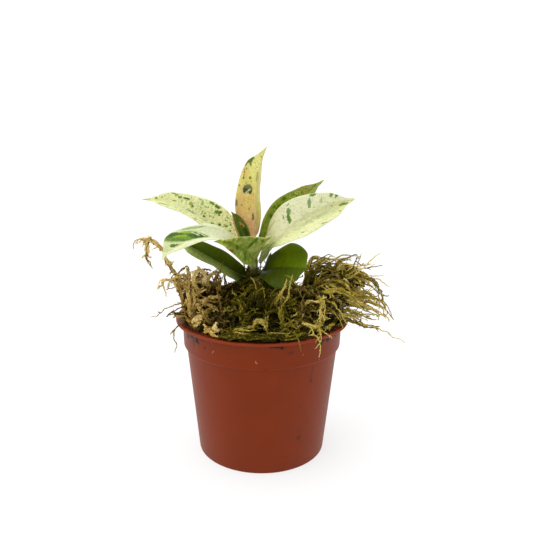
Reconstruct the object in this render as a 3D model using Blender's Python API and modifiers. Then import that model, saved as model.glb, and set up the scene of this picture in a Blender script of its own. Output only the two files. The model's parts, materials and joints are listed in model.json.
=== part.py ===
"""Potted rubber plant: a nursery pot with soil, one stem, nine leaves and a bed of moss.

The origin is the middle of the pot's flat underside, on the surface that the pot stands on.
+Z is up, and -Y is the side the plant is looked at from.
"""
import math
import random

import bmesh
import bpy
import numpy as np
from mathutils import Quaternion, Vector, noise
from mathutils.bvhtree import BVHTree

# Sizes are written in millimetres and turned into metres where a mesh is made
MM = 0.001

# Clear space between two pieces that touch on the real plant
GAP = 0.35

# Pot
POT_HEIGHT = 72.5
RIM_RADIUS = 45.0
RIM_THICKNESS = 1.4
BAND_TOP_RADIUS = 41.6
BAND_LOW_RADIUS = 41.1
BAND_LOW_Z = 58.3
BODY_TOP_RADIUS = 39.7
BASE_RADIUS = 33.7
BASE_ROUNDING = 1.4
WALL = 1.2
FLOOR = 1.6
POT_STEPS = 44
DRAIN_HOLES = 6
DRAIN_RADIUS = 3.2
DRAIN_RING = 23.0
DRAIN_SIDES = 10

# Soil
SOIL_EDGE_Z = 64.5
SOIL_MIDDLE_Z = 66.5
SOIL_ROUGHNESS = 0.7
SOIL_GRAIN = 0.35
SOIL_STEPS = 36
SOIL_RINGS = 7
STEM_HOLE_SIDES = 16

# Stem: places on its axis with the radius there
STEM_FOOT_Z = 46.0
STEM_TOP_Z = 113.5
STEM_LEAN = (-0.030, 0.012)
STEM_BASE = (-3.4, -0.6)
STEM_LOW_RADIUS = 2.5
STEM_HIGH_RADIUS = 1.75
NODE_SWELLING = 0.35
NODE_LENGTH = 1.1
STEM_POINTS = 32

# Leaves
PETIOLE_RADIUS = 1.15
PETIOLE_SHARE = 0.09
BLADE_HALF_THICKNESS = 0.33
RIB_DEPTH = 0.55
TIP_HALF_WIDTH = 0.5
FOLDED_HALF_WIDTH = 2.2
DRIP_CUT = 0.55
WAVE_TURN = 14.0
WAVE_SHIFT = 2.1
LEAF_ROWS = 15
LEAF_COLUMNS = (-1.0, -0.68, -0.32, 0.0, 0.32, 0.68, 1.0)

# Each leaf: where it leaves the stem, two points that bend its rib, its tip, the side its
# upper face looks to, its roll at foot, middle and tip, how far each half folds up at foot and
# tip, its width, the share of its length at the widest place, and how full its outline is
LEAVES = {
    "leaf_upper_left": dict(
        around=155, height=104.0, bends=((-24.5, 10, 117.5), (-41.5, 15, 130.5)),
        tip=(-64.5, 18, 131), face=(0, 0, 1), roll=(16, 13, 11), fold_a=(46, 22), fold_b=(33, 12),
        width=23.0, widest=0.44, fullness=0.74, wave=0.5),
    "leaf_lower_left": dict(
        around=212, height=101.0, bends=((-16, -11, 122.5), (-39.5, -21, 118)),
        tip=(-47.5, -25, 107.5), face=(0, 0, 1), roll=(52, 22, 30), fold_a=(0, 16),
        fold_b=(0, 27), width=26.5, widest=0.47, fullness=0.62, wave=0.6),
    "leaf_upright": dict(
        around=105, height=109.5, bends=((-4, 4.5, 121.5), (-6, 4, 142)),
        tip=(1.5, 9, 159), face=(0, -1, 0.3), roll=(118, 115, 114), fold_a=(21, 41),
        fold_b=(0, 22), width=22.5, widest=0.50, fullness=0.64, wave=0.3),
    "leaf_back_right": dict(
        around=68, height=105.0, bends=((5.5, 20, 114.5), (18, 29, 127)),
        tip=(34, 36, 140.5), face=(0, -0.6, 0.8), roll=(-28, 1, 16), fold_a=(42, 25),
        fold_b=(52, 16), width=20.5, widest=0.46, fullness=0.70, wave=0.5),
    "leaf_right": dict(
        around=345, height=101.5, bends=((7, -3.5, 115.5), (25.5, -5, 129.5)),
        tip=(46, -3, 134.2), face=(0, -0.6, 0.8), roll=(53, 0, -28), fold_a=(22, 37),
        fold_b=(-5, 50), width=26.0, widest=0.42, fullness=0.62, wave=0.5),
    "leaf_low_left": dict(
        around=180, height=92.0, bends=((-18, -2, 97.5), (-31, -3, 108)),
        tip=(-43, -4, 112.5), face=(0, -0.3, 1), roll=(52, 40, 65), fold_a=(50, 50),
        fold_b=(48, 50), width=20.0, widest=0.44, fullness=0.62, wave=0.3),
    "leaf_low_right": dict(
        around=325, height=94.5, bends=((6.5, -7.5, 102.5), (16.5, -13.5, 100.5)),
        tip=(21.5, -18.5, 102), face=(0, -0.4, 1), roll=(5, -18, -15), fold_a=(22, -8),
        fold_b=(21, -8), width=27.5, widest=0.52, fullness=0.66, wave=0.4),
    "leaf_bud": dict(
        around=235, height=110.5, bends=((-9.5, -5, 117.5), (-12.5, -6.5, 123)),
        tip=(-15.5, -7.5, 128), face=(0.5, -0.7, 0.5), roll=(2, -7, -8), fold_a=(0, 10),
        fold_b=(0, 10), width=8.2, widest=0.45, fullness=0.73, wave=0.0),
    "leaf_front": dict(
        around=268, height=98.5, bends=((-2.5, -13.5, 107), (-9.5, -26, 117.5)),
        tip=(-22.5, -30, 117), face=(0.6, 0.4, 0.6), roll=(37, 85, 91), fold_a=(17, 55),
        fold_b=(6, 55), width=20.5, widest=0.40, fullness=0.86, wave=0.4),
}

# Moss: a mound on the soil, cut in four beds
MOUND_INNER = 3.6
MOUND_OUTER = 39.3
MOUND_TOP_Z = 88.0
MOUND_RIM_Z = 73.0
MOUND_LUMPS = 1.8
MOUND_GRAIN = 0.11
MOUND_STEPS = 30
MOUND_RINGS = 7
BED_GAP = 0.5
LEFT_CUT_X = -17.0
RIGHT_CUT_X = 17.0
BACK_CUT_Y = 9.0
WAD_LUMPS = 0.42
WAD_GRAIN = 1.9
STRAND_THICK = 1.0
STRAND_FINE = 0.45
STRAND_STEPS = 6
STRAND_TRIES = 16
ROOT_DEPTH = 2.2
ARCH_SPAN = (8.0, 17.0)
ARCH_RISE = (1.6, 4.0)
ARCH_STEPS = 5

# Each bed: the ends of its box, the wads that thicken it as centres and half sizes, its number
# of free strands and of strands that arch over it, the least and greatest length of a free one,
# where it leans to, how much it sags, and the seed of the bed's draw
BEDS = {
    "moss_left": dict(
        x=(-60, LEFT_CUT_X), y=(-60, 60), wads=[((-31, -5, 81), (8, 12, 9))], free=22, arches=12,
        length=(13, 25), lean=(-0.35, -0.25, 0.55), sag=0.05, seed=11),
    "moss_front": dict(
        x=(LEFT_CUT_X, RIGHT_CUT_X), y=(-60, BACK_CUT_Y), wads=[], free=20, arches=15,
        length=(11, 20), lean=(0.1, -0.6, 0.2), sag=0.14, seed=32),
    "moss_right": dict(
        x=(RIGHT_CUT_X, 80), y=(-60, 60),
        wads=[((33, -2, 84), (14, 17, 8)), ((42, 4, 90), (11, 11, 6))],
        free=28, arches=13, length=(16, 32), lean=(0.75, -0.1, 0.1), sag=0.10, seed=28),
    "moss_back": dict(
        x=(LEFT_CUT_X, RIGHT_CUT_X), y=(BACK_CUT_Y, 60), wads=[], free=13, arches=9,
        length=(12, 24), lean=(0.0, 0.5, 0.25), sag=0.12, seed=47),
}

# Long single strands that show against the background, each with the bed it grows from
LONG_STRANDS = {
    "moss_left": [
        [(-38, -2, 84), (-44, -2, 93), (-49, -3, 102), (-51, -4, 109), (-57, -5, 113),
         (-64, -6, 113), (-65, -6, 108)],
        [(-57, -5, 113), (-58, -5, 109), (-58, -6, 104), (-55, -6, 99)],
        [(-36, -8, 82), (-44, -8, 94), (-38, -9, 100), (-37, -10, 96), (-38, -11, 90)],
        [(-34, -10, 82), (-42, -8, 96), (-46, -10, 95), (-47, -11, 90)],
        [(-30, -6, 85), (-35, -6, 95), (-31, -7, 99), (-27, -8, 97)],
        [(-33, -14, 78), (-39, -16, 77), (-47, -18, 78)],
        [(-32, -15, 78), (-39, -21, 75.5), (-43, -24, 70), (-42, -25, 61)],
    ],
    "moss_front": [
        [(8, -29, 76), (12, -38, 76.5), (16, -46.4, 75.5), (18, -48.5, 71)],
        [(7, -26, 78), (11, -28, 88), (13, -29, 95), (14, -29, 101)],
    ],
    "moss_right": [
        [(30, 10, 90), (40, 12, 101), (46, 11, 103), (53, 9, 102)],
        [(34, 6, 90), (42, 6, 98), (50, 4, 98), (57, 2, 100)],
        [(36, 2, 92), (47, 0, 96), (56, -2, 92), (61, -3, 86), (64, -4, 80), (68, -4, 74)],
        [(34, -4, 82), (46, -4, 84), (57, -7, 84), (63, -8, 79), (68, -8, 73)],
        [(30, -8, 78), (42, -10, 76.5), (52, -13, 72), (59, -14, 70), (66, -14, 66), (73, -14, 62)],
        [(21, -25, 76), (23, -36, 77), (25, -43.5, 76), (25.5, -48.5, 72), (26, -48.5, 66)],
        [(20.5, -12, 79), (20.5, -12.5, 88), (23.5, -11.5, 97), (24, -9, 106)],
    ],
}

# Colours as linear red, green and blue, with a roughness
COLOURS = {
    "pot": ((0.245, 0.062, 0.030), 0.42),
    "soil": ((0.018, 0.012, 0.008), 0.95),
    "stem": ((0.110, 0.070, 0.030), 0.70),
    "leaf_upper_left": ((0.640, 0.660, 0.330), 0.38),
    "leaf_lower_left": ((0.520, 0.600, 0.290), 0.38),
    "leaf_upright": ((0.680, 0.560, 0.210), 0.38),
    "leaf_back_right": ((0.200, 0.290, 0.055), 0.38),
    "leaf_right": ((0.690, 0.710, 0.400), 0.38),
    "leaf_low_left": ((0.060, 0.130, 0.020), 0.32),
    "leaf_low_right": ((0.070, 0.150, 0.010), 0.32),
    "leaf_bud": ((0.150, 0.160, 0.040), 0.40),
    "leaf_front": ((0.330, 0.430, 0.160), 0.42),
    "moss_left": ((0.260, 0.180, 0.070), 0.95),
    "moss_front": ((0.110, 0.105, 0.022), 0.95),
    "moss_right": ((0.210, 0.190, 0.040), 0.95),
    "moss_back": ((0.150, 0.130, 0.040), 0.95),
}


def clear_scene():
    """Empty the scene that the script runs in."""
    for existing in list(bpy.data.objects):
        bpy.data.objects.remove(existing, do_unlink=True)


def new_collection(name):
    """Make a collection in the scene."""
    collection = bpy.data.collections.new(name)
    bpy.context.scene.collection.children.link(collection)
    return collection


def finish_of(name):
    """Make the material of one piece."""
    colour, roughness = COLOURS[name]
    material = bpy.data.materials.new(name)
    material.use_nodes = True
    surface = material.node_tree.nodes["Principled BSDF"]
    surface.inputs["Base Color"].default_value = (*colour, 1.0)
    surface.inputs["Roughness"].default_value = roughness
    surface.inputs["Metallic"].default_value = 0.0
    material.diffuse_color = (*colour, 1.0)
    return material


def add_piece(name, mesh, collection):
    """Put a mesh in the scene as one named piece with its own material."""
    mesh.name = name
    mesh.materials.clear()
    mesh.materials.append(finish_of(name))
    mesh.shade_smooth()
    mesh.set_sharp_from_angle(angle=math.radians(40))
    piece = bpy.data.objects.new(name, mesh)
    collection.objects.link(piece)
    return piece


def mesh_from_bmesh(name, shape):
    """Turn a bmesh into a mesh and free it."""
    mesh = bpy.data.meshes.new(name)
    shape.to_mesh(mesh)
    shape.free()
    return mesh


def evaluated_mesh(piece):
    """The mesh that an object's modifiers give."""
    bpy.context.view_layer.update()
    graph = bpy.context.evaluated_depsgraph_get()
    return bpy.data.meshes.new_from_object(piece.evaluated_get(graph))


def smooth_step(low, high, value):
    """Rise softly from 0 at low to 1 at high."""
    share = min(max((value - low) / (high - low), 0.0), 1.0)
    return share * share * (3.0 - 2.0 * share)


def between(values, share):
    """Read evenly spaced values at a share of the way along."""
    places = np.linspace(0.0, 1.0, len(values))
    return float(np.interp(share, places, values))


def turned_profile(name, profile, steps, collection):
    """Turn a profile of radius and height about Z with a Screw modifier."""
    shape = bmesh.new()
    corners = [shape.verts.new((radius * MM, 0.0, height * MM)) for radius, height in profile]
    for first, second in zip(corners, corners[1:]):
        shape.edges.new((first, second))
    piece = bpy.data.objects.new(name, mesh_from_bmesh(name, shape))
    collection.objects.link(piece)
    screw = piece.modifiers.new("turn", "SCREW")
    screw.axis = "Z"
    screw.steps = steps
    screw.render_steps = steps
    screw.use_merge_vertices = True
    screw.merge_threshold = 0.00001
    return piece


def inner_wall_radius(height):
    """Radius of the pot's inside at a height."""
    if height > BAND_LOW_Z:
        return BAND_LOW_RADIUS - WALL
    share = height / BAND_LOW_Z
    return BASE_RADIUS + (BODY_TOP_RADIUS - BASE_RADIUS) * share - WALL


def pot_profile():
    """Half section of the pot, from the middle of its floor over the rim to its underside."""
    rim_low = POT_HEIGHT - RIM_THICKNESS
    edge = RIM_THICKNESS / 2
    inside = [
        (0.0, FLOOR),
        (inner_wall_radius(FLOOR) - 1.0, FLOOR),
        (inner_wall_radius(FLOOR + 1.0), FLOOR + 1.0),
        (inner_wall_radius(BAND_LOW_Z - WALL), BAND_LOW_Z - WALL),
        (inner_wall_radius(BAND_LOW_Z + WALL), BAND_LOW_Z + 0.2),
        (BAND_TOP_RADIUS - WALL, POT_HEIGHT - 0.5),
        (BAND_TOP_RADIUS - WALL + 0.5, POT_HEIGHT),
    ]
    rim = [
        (RIM_RADIUS - edge, POT_HEIGHT),
        (RIM_RADIUS - 0.2, POT_HEIGHT - 0.2),
        (RIM_RADIUS, POT_HEIGHT - edge),
        (RIM_RADIUS - 0.3, rim_low),
        (BAND_TOP_RADIUS + 0.5, rim_low),
        (BAND_TOP_RADIUS, rim_low - 0.6),
    ]
    outside = [
        (BAND_LOW_RADIUS + 0.05, BAND_LOW_Z + 0.7),
        (BAND_LOW_RADIUS - 0.35, BAND_LOW_Z),
        (BODY_TOP_RADIUS + 0.2, BAND_LOW_Z - 0.5),
        (BODY_TOP_RADIUS - 0.1, BAND_LOW_Z - 1.4),
        (BASE_RADIUS + 0.1, BASE_ROUNDING),
        (BASE_RADIUS - 0.3, BASE_ROUNDING * 0.4),
        (BASE_RADIUS - BASE_ROUNDING, 0.0),
        (0.0, 0.0),
    ]
    return inside + rim + outside


def build_pot(collection, cutters):
    """The pot, with a ring of drainage holes in its floor."""
    pot = turned_profile("pot", pot_profile(), POT_STEPS, collection)
    for index in range(DRAIN_HOLES):
        angle = 2 * math.pi * (index + 0.5) / DRAIN_HOLES
        shape = bmesh.new()
        bmesh.ops.create_cone(
            shape, cap_ends=True, segments=DRAIN_SIDES, radius1=DRAIN_RADIUS * MM,
            radius2=DRAIN_RADIUS * MM, depth=4 * FLOOR * MM)
        name = f"drain_cutter_{index + 1}"
        cutter = bpy.data.objects.new(name, mesh_from_bmesh(name, shape))
        cutter.location = (
            DRAIN_RING * math.cos(angle) * MM, DRAIN_RING * math.sin(angle) * MM, FLOOR / 2 * MM)
        cutter.hide_render = True
        cutter.display_type = "WIRE"
        cutters.objects.link(cutter)
    cut = pot.modifiers.new("drain holes", "BOOLEAN")
    cut.operation = "DIFFERENCE"
    cut.operand_type = "COLLECTION"
    cut.collection = cutters
    mesh = evaluated_mesh(pot)
    bpy.data.objects.remove(pot, do_unlink=True)
    return add_piece("pot", mesh, collection)


def stem_centre(height):
    """Middle of the stem at a height, in millimetres."""
    rise = height - SOIL_MIDDLE_Z
    return Vector((STEM_BASE[0] + STEM_LEAN[0] * rise, STEM_BASE[1] + STEM_LEAN[1] * rise, height))


def stem_radius(height):
    """Radius of the stem at a height, with a swelling at each leaf and a pointed top."""
    share = smooth_step(STEM_FOOT_Z, STEM_TOP_Z, height)
    radius = STEM_LOW_RADIUS + (STEM_HIGH_RADIUS - STEM_LOW_RADIUS) * share
    for leaf in LEAVES.values():
        radius += NODE_SWELLING * math.exp(-((height - leaf["height"]) / NODE_LENGTH) ** 2) * 0.5
    radius *= 1.0 - 0.8 * smooth_step(STEM_TOP_Z - 3.0, STEM_TOP_Z, height)
    return radius * (0.6 + 0.4 * smooth_step(STEM_FOOT_Z, STEM_FOOT_Z + 5.0, height))


def build_stem(collection):
    """The stem, a round rod whose radius follows its nodes."""
    curve = bpy.data.curves.new("stem", "CURVE")
    curve.dimensions = "3D"
    curve.bevel_depth = MM
    curve.bevel_resolution = 2
    curve.use_fill_caps = True
    spline = curve.splines.new("POLY")
    spline.points.add(STEM_POINTS - 1)
    for index, point in enumerate(spline.points):
        height = STEM_FOOT_Z + (STEM_TOP_Z - STEM_FOOT_Z) * index / (STEM_POINTS - 1)
        point.co = (*(stem_centre(height) * MM), 1.0)
        point.radius = stem_radius(height)
    mesh = mesh_of_curve(curve)
    return add_piece("stem", mesh, collection)


def mesh_of_curve(curve):
    """Mesh of a bevelled curve with its caps welded on, and the curve removed."""
    guide = bpy.data.objects.new(curve.name, curve)
    bpy.context.scene.collection.objects.link(guide)
    mesh = evaluated_mesh(guide)
    bpy.data.objects.remove(guide, do_unlink=True)
    bpy.data.curves.remove(curve)
    shape = bmesh.new()
    shape.from_mesh(mesh)
    bmesh.ops.remove_doubles(shape, verts=shape.verts, dist=0.00001)
    bmesh.ops.recalc_face_normals(shape, faces=shape.faces)
    shape.to_mesh(mesh)
    shape.free()
    return mesh


def build_soil(collection, cutters):
    """The soil, which fills the pot, with a rough top and a plain hole for the stem."""
    low = FLOOR + GAP
    profile = [(0.0, SOIL_MIDDLE_Z)]
    edge = inner_wall_radius(SOIL_EDGE_Z) - GAP
    for index in range(1, SOIL_RINGS + 1):
        share = index / SOIL_RINGS
        profile.append((edge * share, SOIL_MIDDLE_Z + (SOIL_EDGE_Z - SOIL_MIDDLE_Z) * share ** 2))
    profile += [
        (inner_wall_radius(BAND_LOW_Z + WALL) - GAP, BAND_LOW_Z + 0.6),
        (inner_wall_radius(BAND_LOW_Z - WALL) - GAP, BAND_LOW_Z - 0.9),
        (inner_wall_radius(FLOOR + 1.6) - GAP, FLOOR + 1.6),
        (inner_wall_radius(FLOOR) - 2.0, low),
        (0.0, low),
    ]
    soil = turned_profile("soil", profile, SOIL_STEPS, collection)
    mesh = evaluated_mesh(soil)
    bpy.data.objects.remove(soil, do_unlink=True)
    for vertex in mesh.vertices:
        place = vertex.co / MM
        radius = math.hypot(place.x, place.y)
        if place.z > SOIL_EDGE_Z - 0.5 and radius < edge - 1.0:
            vertex.co.z += SOIL_ROUGHNESS * noise.noise(place * SOIL_GRAIN) * MM
    soil = add_piece("soil", mesh, collection)
    shape = bmesh.new()
    hole = STEM_LOW_RADIUS + NODE_SWELLING + GAP
    bottom = STEM_FOOT_Z - GAP
    depth = SOIL_MIDDLE_Z + 10.0 - bottom
    bmesh.ops.create_cone(
        shape, cap_ends=True, segments=STEM_HOLE_SIDES, radius1=hole * MM, radius2=hole * MM,
        depth=depth * MM)
    cutter = bpy.data.objects.new("stem_hole_cutter", mesh_from_bmesh("stem_hole_cutter", shape))
    cutter.location = stem_centre(bottom + depth / 2) * MM
    cutter.hide_render = True
    cutter.display_type = "WIRE"
    cutters.objects.link(cutter)
    cut = soil.modifiers.new("stem hole", "BOOLEAN")
    cut.operation = "DIFFERENCE"
    cut.object = cutter
    return soil


def leaf_foot(leaf):
    """Middle of the petiole's foot, just clear of the stem."""
    angle = math.radians(leaf["around"])
    outward = Vector((math.cos(angle), math.sin(angle), 0.0))
    centre = stem_centre(leaf["height"])
    steepness = (Vector(leaf["bends"][0]) - centre).normalized().z
    reach = stem_radius(leaf["height"]) + GAP + PETIOLE_RADIUS * max(steepness, 0.0)
    return centre + outward * reach


def rib_point(controls, share):
    """Point on the rib's curve at a share of its length."""
    rest = 1.0 - share
    return (controls[0] * rest ** 3 + controls[1] * 3 * rest ** 2 * share
            + controls[2] * 3 * rest * share ** 2 + controls[3] * share ** 3)


def blade_share(share, leaf):
    """Half width of the blade as a share of its widest half width."""
    power = math.log(0.5) / math.log(leaf["widest"])
    swell = math.sin(math.pi * share ** power) ** leaf["fullness"] if 0.0 < share < 1.0 else 0.0
    shoulder = smooth_step(PETIOLE_SHARE * 0.3, PETIOLE_SHARE * 1.7, share)
    drip = 1.0 - DRIP_CUT * smooth_step(0.82, 0.97, share)
    return swell * shoulder * drip


def leaf_frames(leaf, rows):
    """Rib points with the direction to the leaf's side and the direction its face looks."""
    controls = [leaf_foot(leaf)] + [Vector(bend) for bend in leaf["bends"]] + [Vector(leaf["tip"])]
    shares = [row / (rows - 1) for row in range(rows)]
    frames = []
    face = Vector(leaf["face"])
    for share in shares:
        ahead = rib_point(controls, min(share + 0.01, 1.0))
        behind = rib_point(controls, max(share - 0.01, 0.0))
        along = (ahead - behind).normalized()
        face = (face - along * face.dot(along)).normalized()
        turn = Quaternion(along, -math.radians(between(leaf["roll"], share)))
        looks = turn @ face
        side = along.cross(looks)
        frames.append((share, rib_point(controls, share), side, looks))
    return frames


def leaf_surface(leaf, rows, columns):
    """Middle surface of a leaf as a grid of points, with the blade's half width in each row."""
    grid = []
    widths = []
    for share, rib, side, looks in leaf_frames(leaf, rows):
        half = max(blade_share(share, leaf) * leaf["width"] / 2, TIP_HALF_WIDTH)
        petiole = 1.0 - smooth_step(PETIOLE_SHARE * 0.5, PETIOLE_SHARE * 1.7, share)
        half = max(half, PETIOLE_RADIUS * petiole)
        folds = (between(leaf["fold_a"], share), between(leaf["fold_b"], share))
        opening = (1.0 - petiole) * smooth_step(TIP_HALF_WIDTH, FOLDED_HALF_WIDTH, half)
        row = []
        for column in columns:
            fold = math.radians(folds[0] if column > 0 else folds[1]) * opening
            reach = half * abs(column)
            wave = leaf["wave"] * math.sin(WAVE_TURN * share + WAVE_SHIFT * (column > 0)) * column ** 2
            lift = wave * blade_share(share, leaf) + reach * math.sin(fold)
            row.append(rib + side * math.copysign(reach * math.cos(fold), column) + looks * lift)
        grid.append(row)
        widths.append((half, petiole))
    return grid, widths


def surface_normals(grid):
    """Direction square to the surface at each point of a grid."""
    points = np.array([[tuple(point) for point in row] for row in grid])
    along = np.gradient(points, axis=0)
    across = np.gradient(points, axis=1)
    normals = np.cross(across, along)
    return normals / np.linalg.norm(normals, axis=2, keepdims=True)


def leaf_mesh(name, leaf):
    """Loft a leaf from the round foot of its petiole to its thin pointed blade."""
    grid, widths = leaf_surface(leaf, LEAF_ROWS, LEAF_COLUMNS)
    normals = surface_normals(grid)
    if Vector(normals[LEAF_ROWS // 2][3]).dot(leaf_frames(leaf, LEAF_ROWS)[LEAF_ROWS // 2][3]) < 0:
        normals = -normals
    shape = bmesh.new()
    top = []
    bottom = []
    for row, (half, petiole) in enumerate(widths):
        top_row = []
        bottom_row = []
        for index, column in enumerate(LEAF_COLUMNS):
            round_half = max(PETIOLE_RADIUS * math.sqrt(1.0 - column ** 2), 0.3)
            rib = RIB_DEPTH * (1.0 - abs(column) * 3.0) if abs(column) < 0.3 else 0.0
            rib *= 1.0 - row / LEAF_ROWS
            above = BLADE_HALF_THICKNESS + (round_half - BLADE_HALF_THICKNESS) * petiole
            below = BLADE_HALF_THICKNESS + rib
            below += (round_half - below) * petiole
            normal = Vector(normals[row][index])
            top_row.append(shape.verts.new((grid[row][index] + normal * above) * MM))
            bottom_row.append(shape.verts.new((grid[row][index] - normal * below) * MM))
        top.append(top_row)
        bottom.append(bottom_row)
    last = len(LEAF_COLUMNS) - 1
    for row in range(LEAF_ROWS - 1):
        for index in range(last):
            for sheet, flip in ((top, False), (bottom, True)):
                corners = (sheet[row][index], sheet[row + 1][index],
                           sheet[row + 1][index + 1], sheet[row][index + 1])
                for triangle in ((0, 1, 2), (0, 2, 3)):
                    picked = [corners[corner] for corner in triangle]
                    shape.faces.new(picked[::-1] if flip else picked)
        for index in (0, last):
            shape.faces.new((top[row][index], bottom[row][index], bottom[row + 1][index]))
            shape.faces.new((top[row][index], bottom[row + 1][index], top[row + 1][index]))
    for row in (0, LEAF_ROWS - 1):
        shape.faces.new(top[row] + bottom[row][::-1])
    bmesh.ops.triangulate(shape, faces=[face for face in shape.faces if len(face.verts) > 3])
    bmesh.ops.recalc_face_normals(shape, faces=shape.faces)
    return mesh_from_bmesh(name, shape)


def build_leaves(collection):
    """Every leaf, each with its own petiole."""
    return [add_piece(name, leaf_mesh(name, leaf), collection) for name, leaf in LEAVES.items()]


def mound_height(radius, angle):
    """Height of the moss mound's top at a place."""
    share = min(max((radius - MOUND_INNER) / (MOUND_OUTER - MOUND_INNER), 0.0), 1.0)
    height = MOUND_RIM_Z + (MOUND_TOP_Z - MOUND_RIM_Z) * math.cos(share * math.pi / 2) ** 0.8
    place = Vector((radius * math.cos(angle), radius * math.sin(angle), 3.0)) * MOUND_GRAIN
    return height + MOUND_LUMPS * noise.noise(place)


def mound_mesh():
    """A lumpy dome of moss that lies on the soil, open round the stem."""
    steps = MOUND_STEPS
    radii = [MOUND_INNER + (MOUND_OUTER - MOUND_INNER) * index / (MOUND_RINGS - 1)
             for index in range(MOUND_RINGS)]
    centre = stem_centre(MOUND_TOP_Z - 8.0)
    shape = bmesh.new()
    rings = []
    low = SOIL_MIDDLE_Z + SOIL_ROUGHNESS + GAP
    for radius in radii + radii[::-1]:
        is_top = len(rings) < len(radii)
        share = (radius - MOUND_INNER) / (MOUND_OUTER - MOUND_INNER)
        ring = []
        for step in range(steps):
            angle = 2 * math.pi * step / steps
            height = mound_height(radius, angle) if is_top else low
            ring.append(shape.verts.new((
                (radius * math.cos(angle) + centre.x * (1 - share)) * MM,
                (radius * math.sin(angle) + centre.y * (1 - share)) * MM, height * MM)))
        if is_top or radius in (MOUND_INNER, MOUND_OUTER):
            rings.append(ring)
        else:
            for vertex in ring:
                shape.verts.remove(vertex)
    count = len(rings)
    for index in range(count):
        first = rings[index]
        second = rings[(index + 1) % count]
        for step in range(steps):
            after = (step + 1) % steps
            shape.faces.new((first[step], second[step], second[after], first[after]))
    bmesh.ops.recalc_face_normals(shape, faces=shape.faces)
    return mesh_from_bmesh("mound", shape)


def box_mesh(name, x_range, y_range, z_range):
    """A plain box between three pairs of ends."""
    shape = bmesh.new()
    bmesh.ops.create_cube(shape, size=1.0)
    ends = (x_range, y_range, z_range)
    sizes = [(high - low) * MM for low, high in ends]
    middle = [(high + low) / 2 * MM for low, high in ends]
    bmesh.ops.scale(shape, vec=sizes, verts=shape.verts)
    bmesh.ops.translate(shape, vec=middle, verts=shape.verts)
    return mesh_from_bmesh(name, shape)


def wad_mesh(name, centre, sizes):
    """A lumpy ball of moss."""
    shape = bmesh.new()
    bmesh.ops.create_icosphere(shape, subdivisions=2, radius=1.0)
    for vertex in shape.verts:
        lump = 1.0 + WAD_LUMPS * noise.noise(vertex.co * WAD_GRAIN + Vector(centre))
        place = Vector(centre) + Vector(
            vertex.co[axis] * sizes[axis] * lump for axis in range(3))
        vertex.co = place * MM
    return mesh_from_bmesh(name, shape)


def boolean_mesh(mesh, operation, others, solver="EXACT"):
    """Join others to a mesh, or keep what it shares with them, and give the new mesh."""
    base = bpy.data.objects.new("base", mesh)
    bpy.context.scene.collection.objects.link(base)
    operands = new_collection("operands")
    for other in others:
        operands.objects.link(bpy.data.objects.new("operand", other))
    change = base.modifiers.new("change", "BOOLEAN")
    change.operation = operation
    change.operand_type = "COLLECTION"
    change.collection = operands
    change.solver = solver
    result = evaluated_mesh(base)
    for operand in list(operands.objects):
        bpy.data.objects.remove(operand, do_unlink=True)
    bpy.data.objects.remove(base, do_unlink=True)
    bpy.data.collections.remove(operands)
    return result


def is_closed(mesh):
    """Whether every edge of a mesh has two faces, also once it is split into triangles."""
    shape = bmesh.new()
    shape.from_mesh(mesh)
    bmesh.ops.triangulate(shape, faces=shape.faces)
    closed = all(len(edge.link_faces) == 2 for edge in shape.edges)
    shape.free()
    return closed


def without_scraps(mesh):
    """Drop all but the largest connected body of a mesh."""
    shape = bmesh.new()
    shape.from_mesh(mesh)
    waiting = set(shape.verts)
    bodies = []
    while waiting:
        edge_of_search = [waiting.pop()]
        body = set(edge_of_search)
        while edge_of_search:
            vertex = edge_of_search.pop()
            near = {edge.other_vert(vertex) for edge in vertex.link_edges} & waiting
            waiting -= near
            body |= near
            edge_of_search.extend(near)
        bodies.append(body)
    bodies.sort(key=len)
    scraps = [vertex for body in bodies[:-1] for vertex in body]
    bmesh.ops.delete(shape, geom=scraps, context="VERTS")
    shape.to_mesh(mesh)
    shape.free()
    return mesh


def fused(core, strands):
    """A bed's core and its strands as one closed body."""
    for solver in ("MANIFOLD", "EXACT"):
        moss = without_scraps(boolean_mesh(core, "UNION", strands, solver))
        if is_closed(moss):
            break
    return moss


def three_sided_section():
    """Section that a strand of moss is drawn out along."""
    outline = bpy.data.curves.new("strand_section", "CURVE")
    spline = outline.splines.new("POLY")
    spline.points.add(2)
    spline.use_cyclic_u = True
    for index, point in enumerate(spline.points):
        angle = 2 * math.pi * index / 3
        point.co = (math.cos(angle) * MM, math.sin(angle) * MM, 0.0, 1.0)
    section = bpy.data.objects.new("strand_section", outline)
    bpy.context.scene.collection.objects.link(section)
    return section


def strand_mesh(points, thick, fine, section):
    """One strand of moss, a tapered thread through its points."""
    curve = bpy.data.curves.new("strand", "CURVE")
    curve.dimensions = "3D"
    curve.bevel_mode = "OBJECT"
    curve.bevel_object = section
    curve.use_fill_caps = True
    spline = curve.splines.new("POLY")
    spline.points.add(len(points) - 1)
    for index, point in enumerate(points):
        share = index / (len(points) - 1)
        spline.points[index].co = (*(point * MM), 1.0)
        spline.points[index].radius = thick + (fine - thick) * share
    return mesh_of_curve(curve)


def smooth_route(route, count):
    """Evenly spaced points on a soft curve through the points of a route."""
    points = [Vector(point) for point in route]
    padded = [points[0] * 2 - points[1]] + points + [points[-1] * 2 - points[-2]]
    dense = []
    for index in range(len(points) - 1):
        before, start, end, after = padded[index:index + 4]
        for step in range(8):
            share = step / 8
            dense.append(0.5 * (
                start * 2 + (end - before) * share
                + (before * 2 - start * 5 + end * 4 - after) * share ** 2
                + (start * 3 - before - end * 3 + after) * share ** 3))
    dense.append(points[-1])
    lengths = np.cumsum([0.0] + [(b - a).length for a, b in zip(dense, dense[1:])])
    wanted = np.linspace(0.0, lengths[-1], count)
    axes = [np.interp(wanted, lengths, [point[axis] for point in dense]) for axis in range(3)]
    return [Vector(place) for place in zip(*axes)]


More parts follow.
